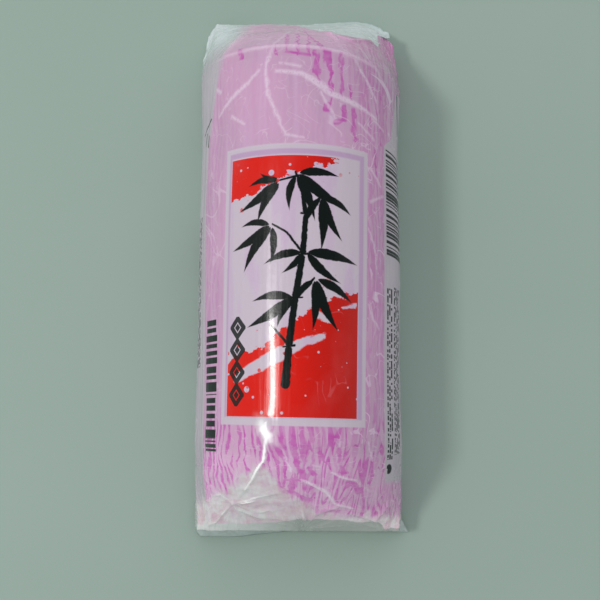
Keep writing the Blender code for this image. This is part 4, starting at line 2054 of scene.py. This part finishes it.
def clear_fins() -> list[FilmFin]:
    """List the pieces of bare film that stand out at the ends.

    Returns:
        The fins, near end first.
    """
    return [
        FilmFin(
            "near_hem",
            (
                (-29.2, -68.0, 5.0), (-28.4, -74.4, 7.0), (-15.0, -74.9, 8.2), (0.0, -74.9, 7.4),
                (15.0, -74.9, 7.8), (27.6, -74.6, 6.4), (28.6, -70.0, 4.0),
            ),
            (
                (-30.2, -68.0, 1.6), (-30.0, -75.6, 1.6), (-28.6, -77.6, 1.7), (-18.0, -77.6, 1.9),
                (-10.0, -76.6, 2.0), (-1.0, -75.8, 1.9), (15.0, -75.6, 1.8), (25.0, -76.0, 1.6),
                (31.9, -76.2, 1.2), (29.9, -72.5, 1.2), (29.4, -69.0, 1.4),
            ),
            columns=130, seed=12,
        ),
        FilmFin(
            "far_left_ear",
            (
                (-28.9, 66.0, 6.0), (-27.6, 69.6, 6.6), (-24.4, 74.4, 7.6), (-20.0, 75.0, 8.4),
                (-14.0, 75.2, 8.8),
            ),
            (
                (-29.8, 66.5, 2.2), (-28.9, 69.4, 1.6), (-26.0, 77.4, 2.2), (-18.6, 76.9, 4.0),
                (-13.0, 75.6, 7.6),
            ),
            columns=48, seed=14, wave=0.25,
        ),
        FilmFin(
            "far_right_flap",
            ((7.0, 72.6, 13.2), (15.0, 71.9, 13.4), (22.0, 70.8, 12.4), (25.8, 70.2, 10.6)),
            (
                (4.0, 75.4, 8.9), (10.0, 77.0, 6.4), (17.2, 77.7, 5.6), (22.0, 76.9, 5.8),
                (24.4, 75.2, 7.0), (25.2, 73.6, 8.2), (26.8, 73.0, 8.8), (27.2, 70.8, 9.2),
            ),
            columns=56, seed=17, wave=0.45,
        ),
    ]


def main() -> None:
    """Build the wrapped loaf piece by piece, then its studio."""
    logging.basicConfig(level=logging.INFO, format="%(message)s")
    bpy.context.scene.view_settings.view_transform = "Standard"
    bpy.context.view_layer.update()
    form = LoafForm()
    shelf = EffectShelf()
    gloss = Gloss()
    calm = Gloss(specular=0.3, coat=0.35, ior=1.35)
    dull = Gloss(specular=0.3, coat=0.14, ior=1.16)
    prints = {
        PrintPart.GROUND: PinkGround(shelf, calm).build(),
        PrintPart.FAR_END: FarGround(shelf, gloss).build(),
        PrintPart.NEAR_END: NearGround(shelf, gloss).build(),
        PrintPart.STRIP: SideStrip(shelf, dull).build(),
        PrintPart.PANEL: FramedPanel(shelf, gloss).build(),
    }
    clear = ClearFilmFinish("clear film", seen(174, 186, 184), 0.72).build(shelf)
    milky = ClearFilmFinish("milky film", seen(196, 212, 214), 0.86).build(shelf)
    under = ClearFilmFinish("folded film", seen(196, 186, 190), 0.98).build(shelf)
    skin = FilmWrap(form).build(prints)
    log.info("%s: %d faces", skin.name, len(skin.data.polygons))
    for fin in clear_fins():
        piece = fin.build(clear if fin.name == "near_hem" else milky)
        log.info("%s: %d faces", piece.name, len(piece.data.polygons))
    for piece in Underside(form).build(under):
        log.info("%s: %d faces", piece.name, len(piece.data.polygons))
    studio = Studio()
    studio.table()
    studio.lights()
    studio.camera()
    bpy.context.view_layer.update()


if __name__ == "__main__":
    main()
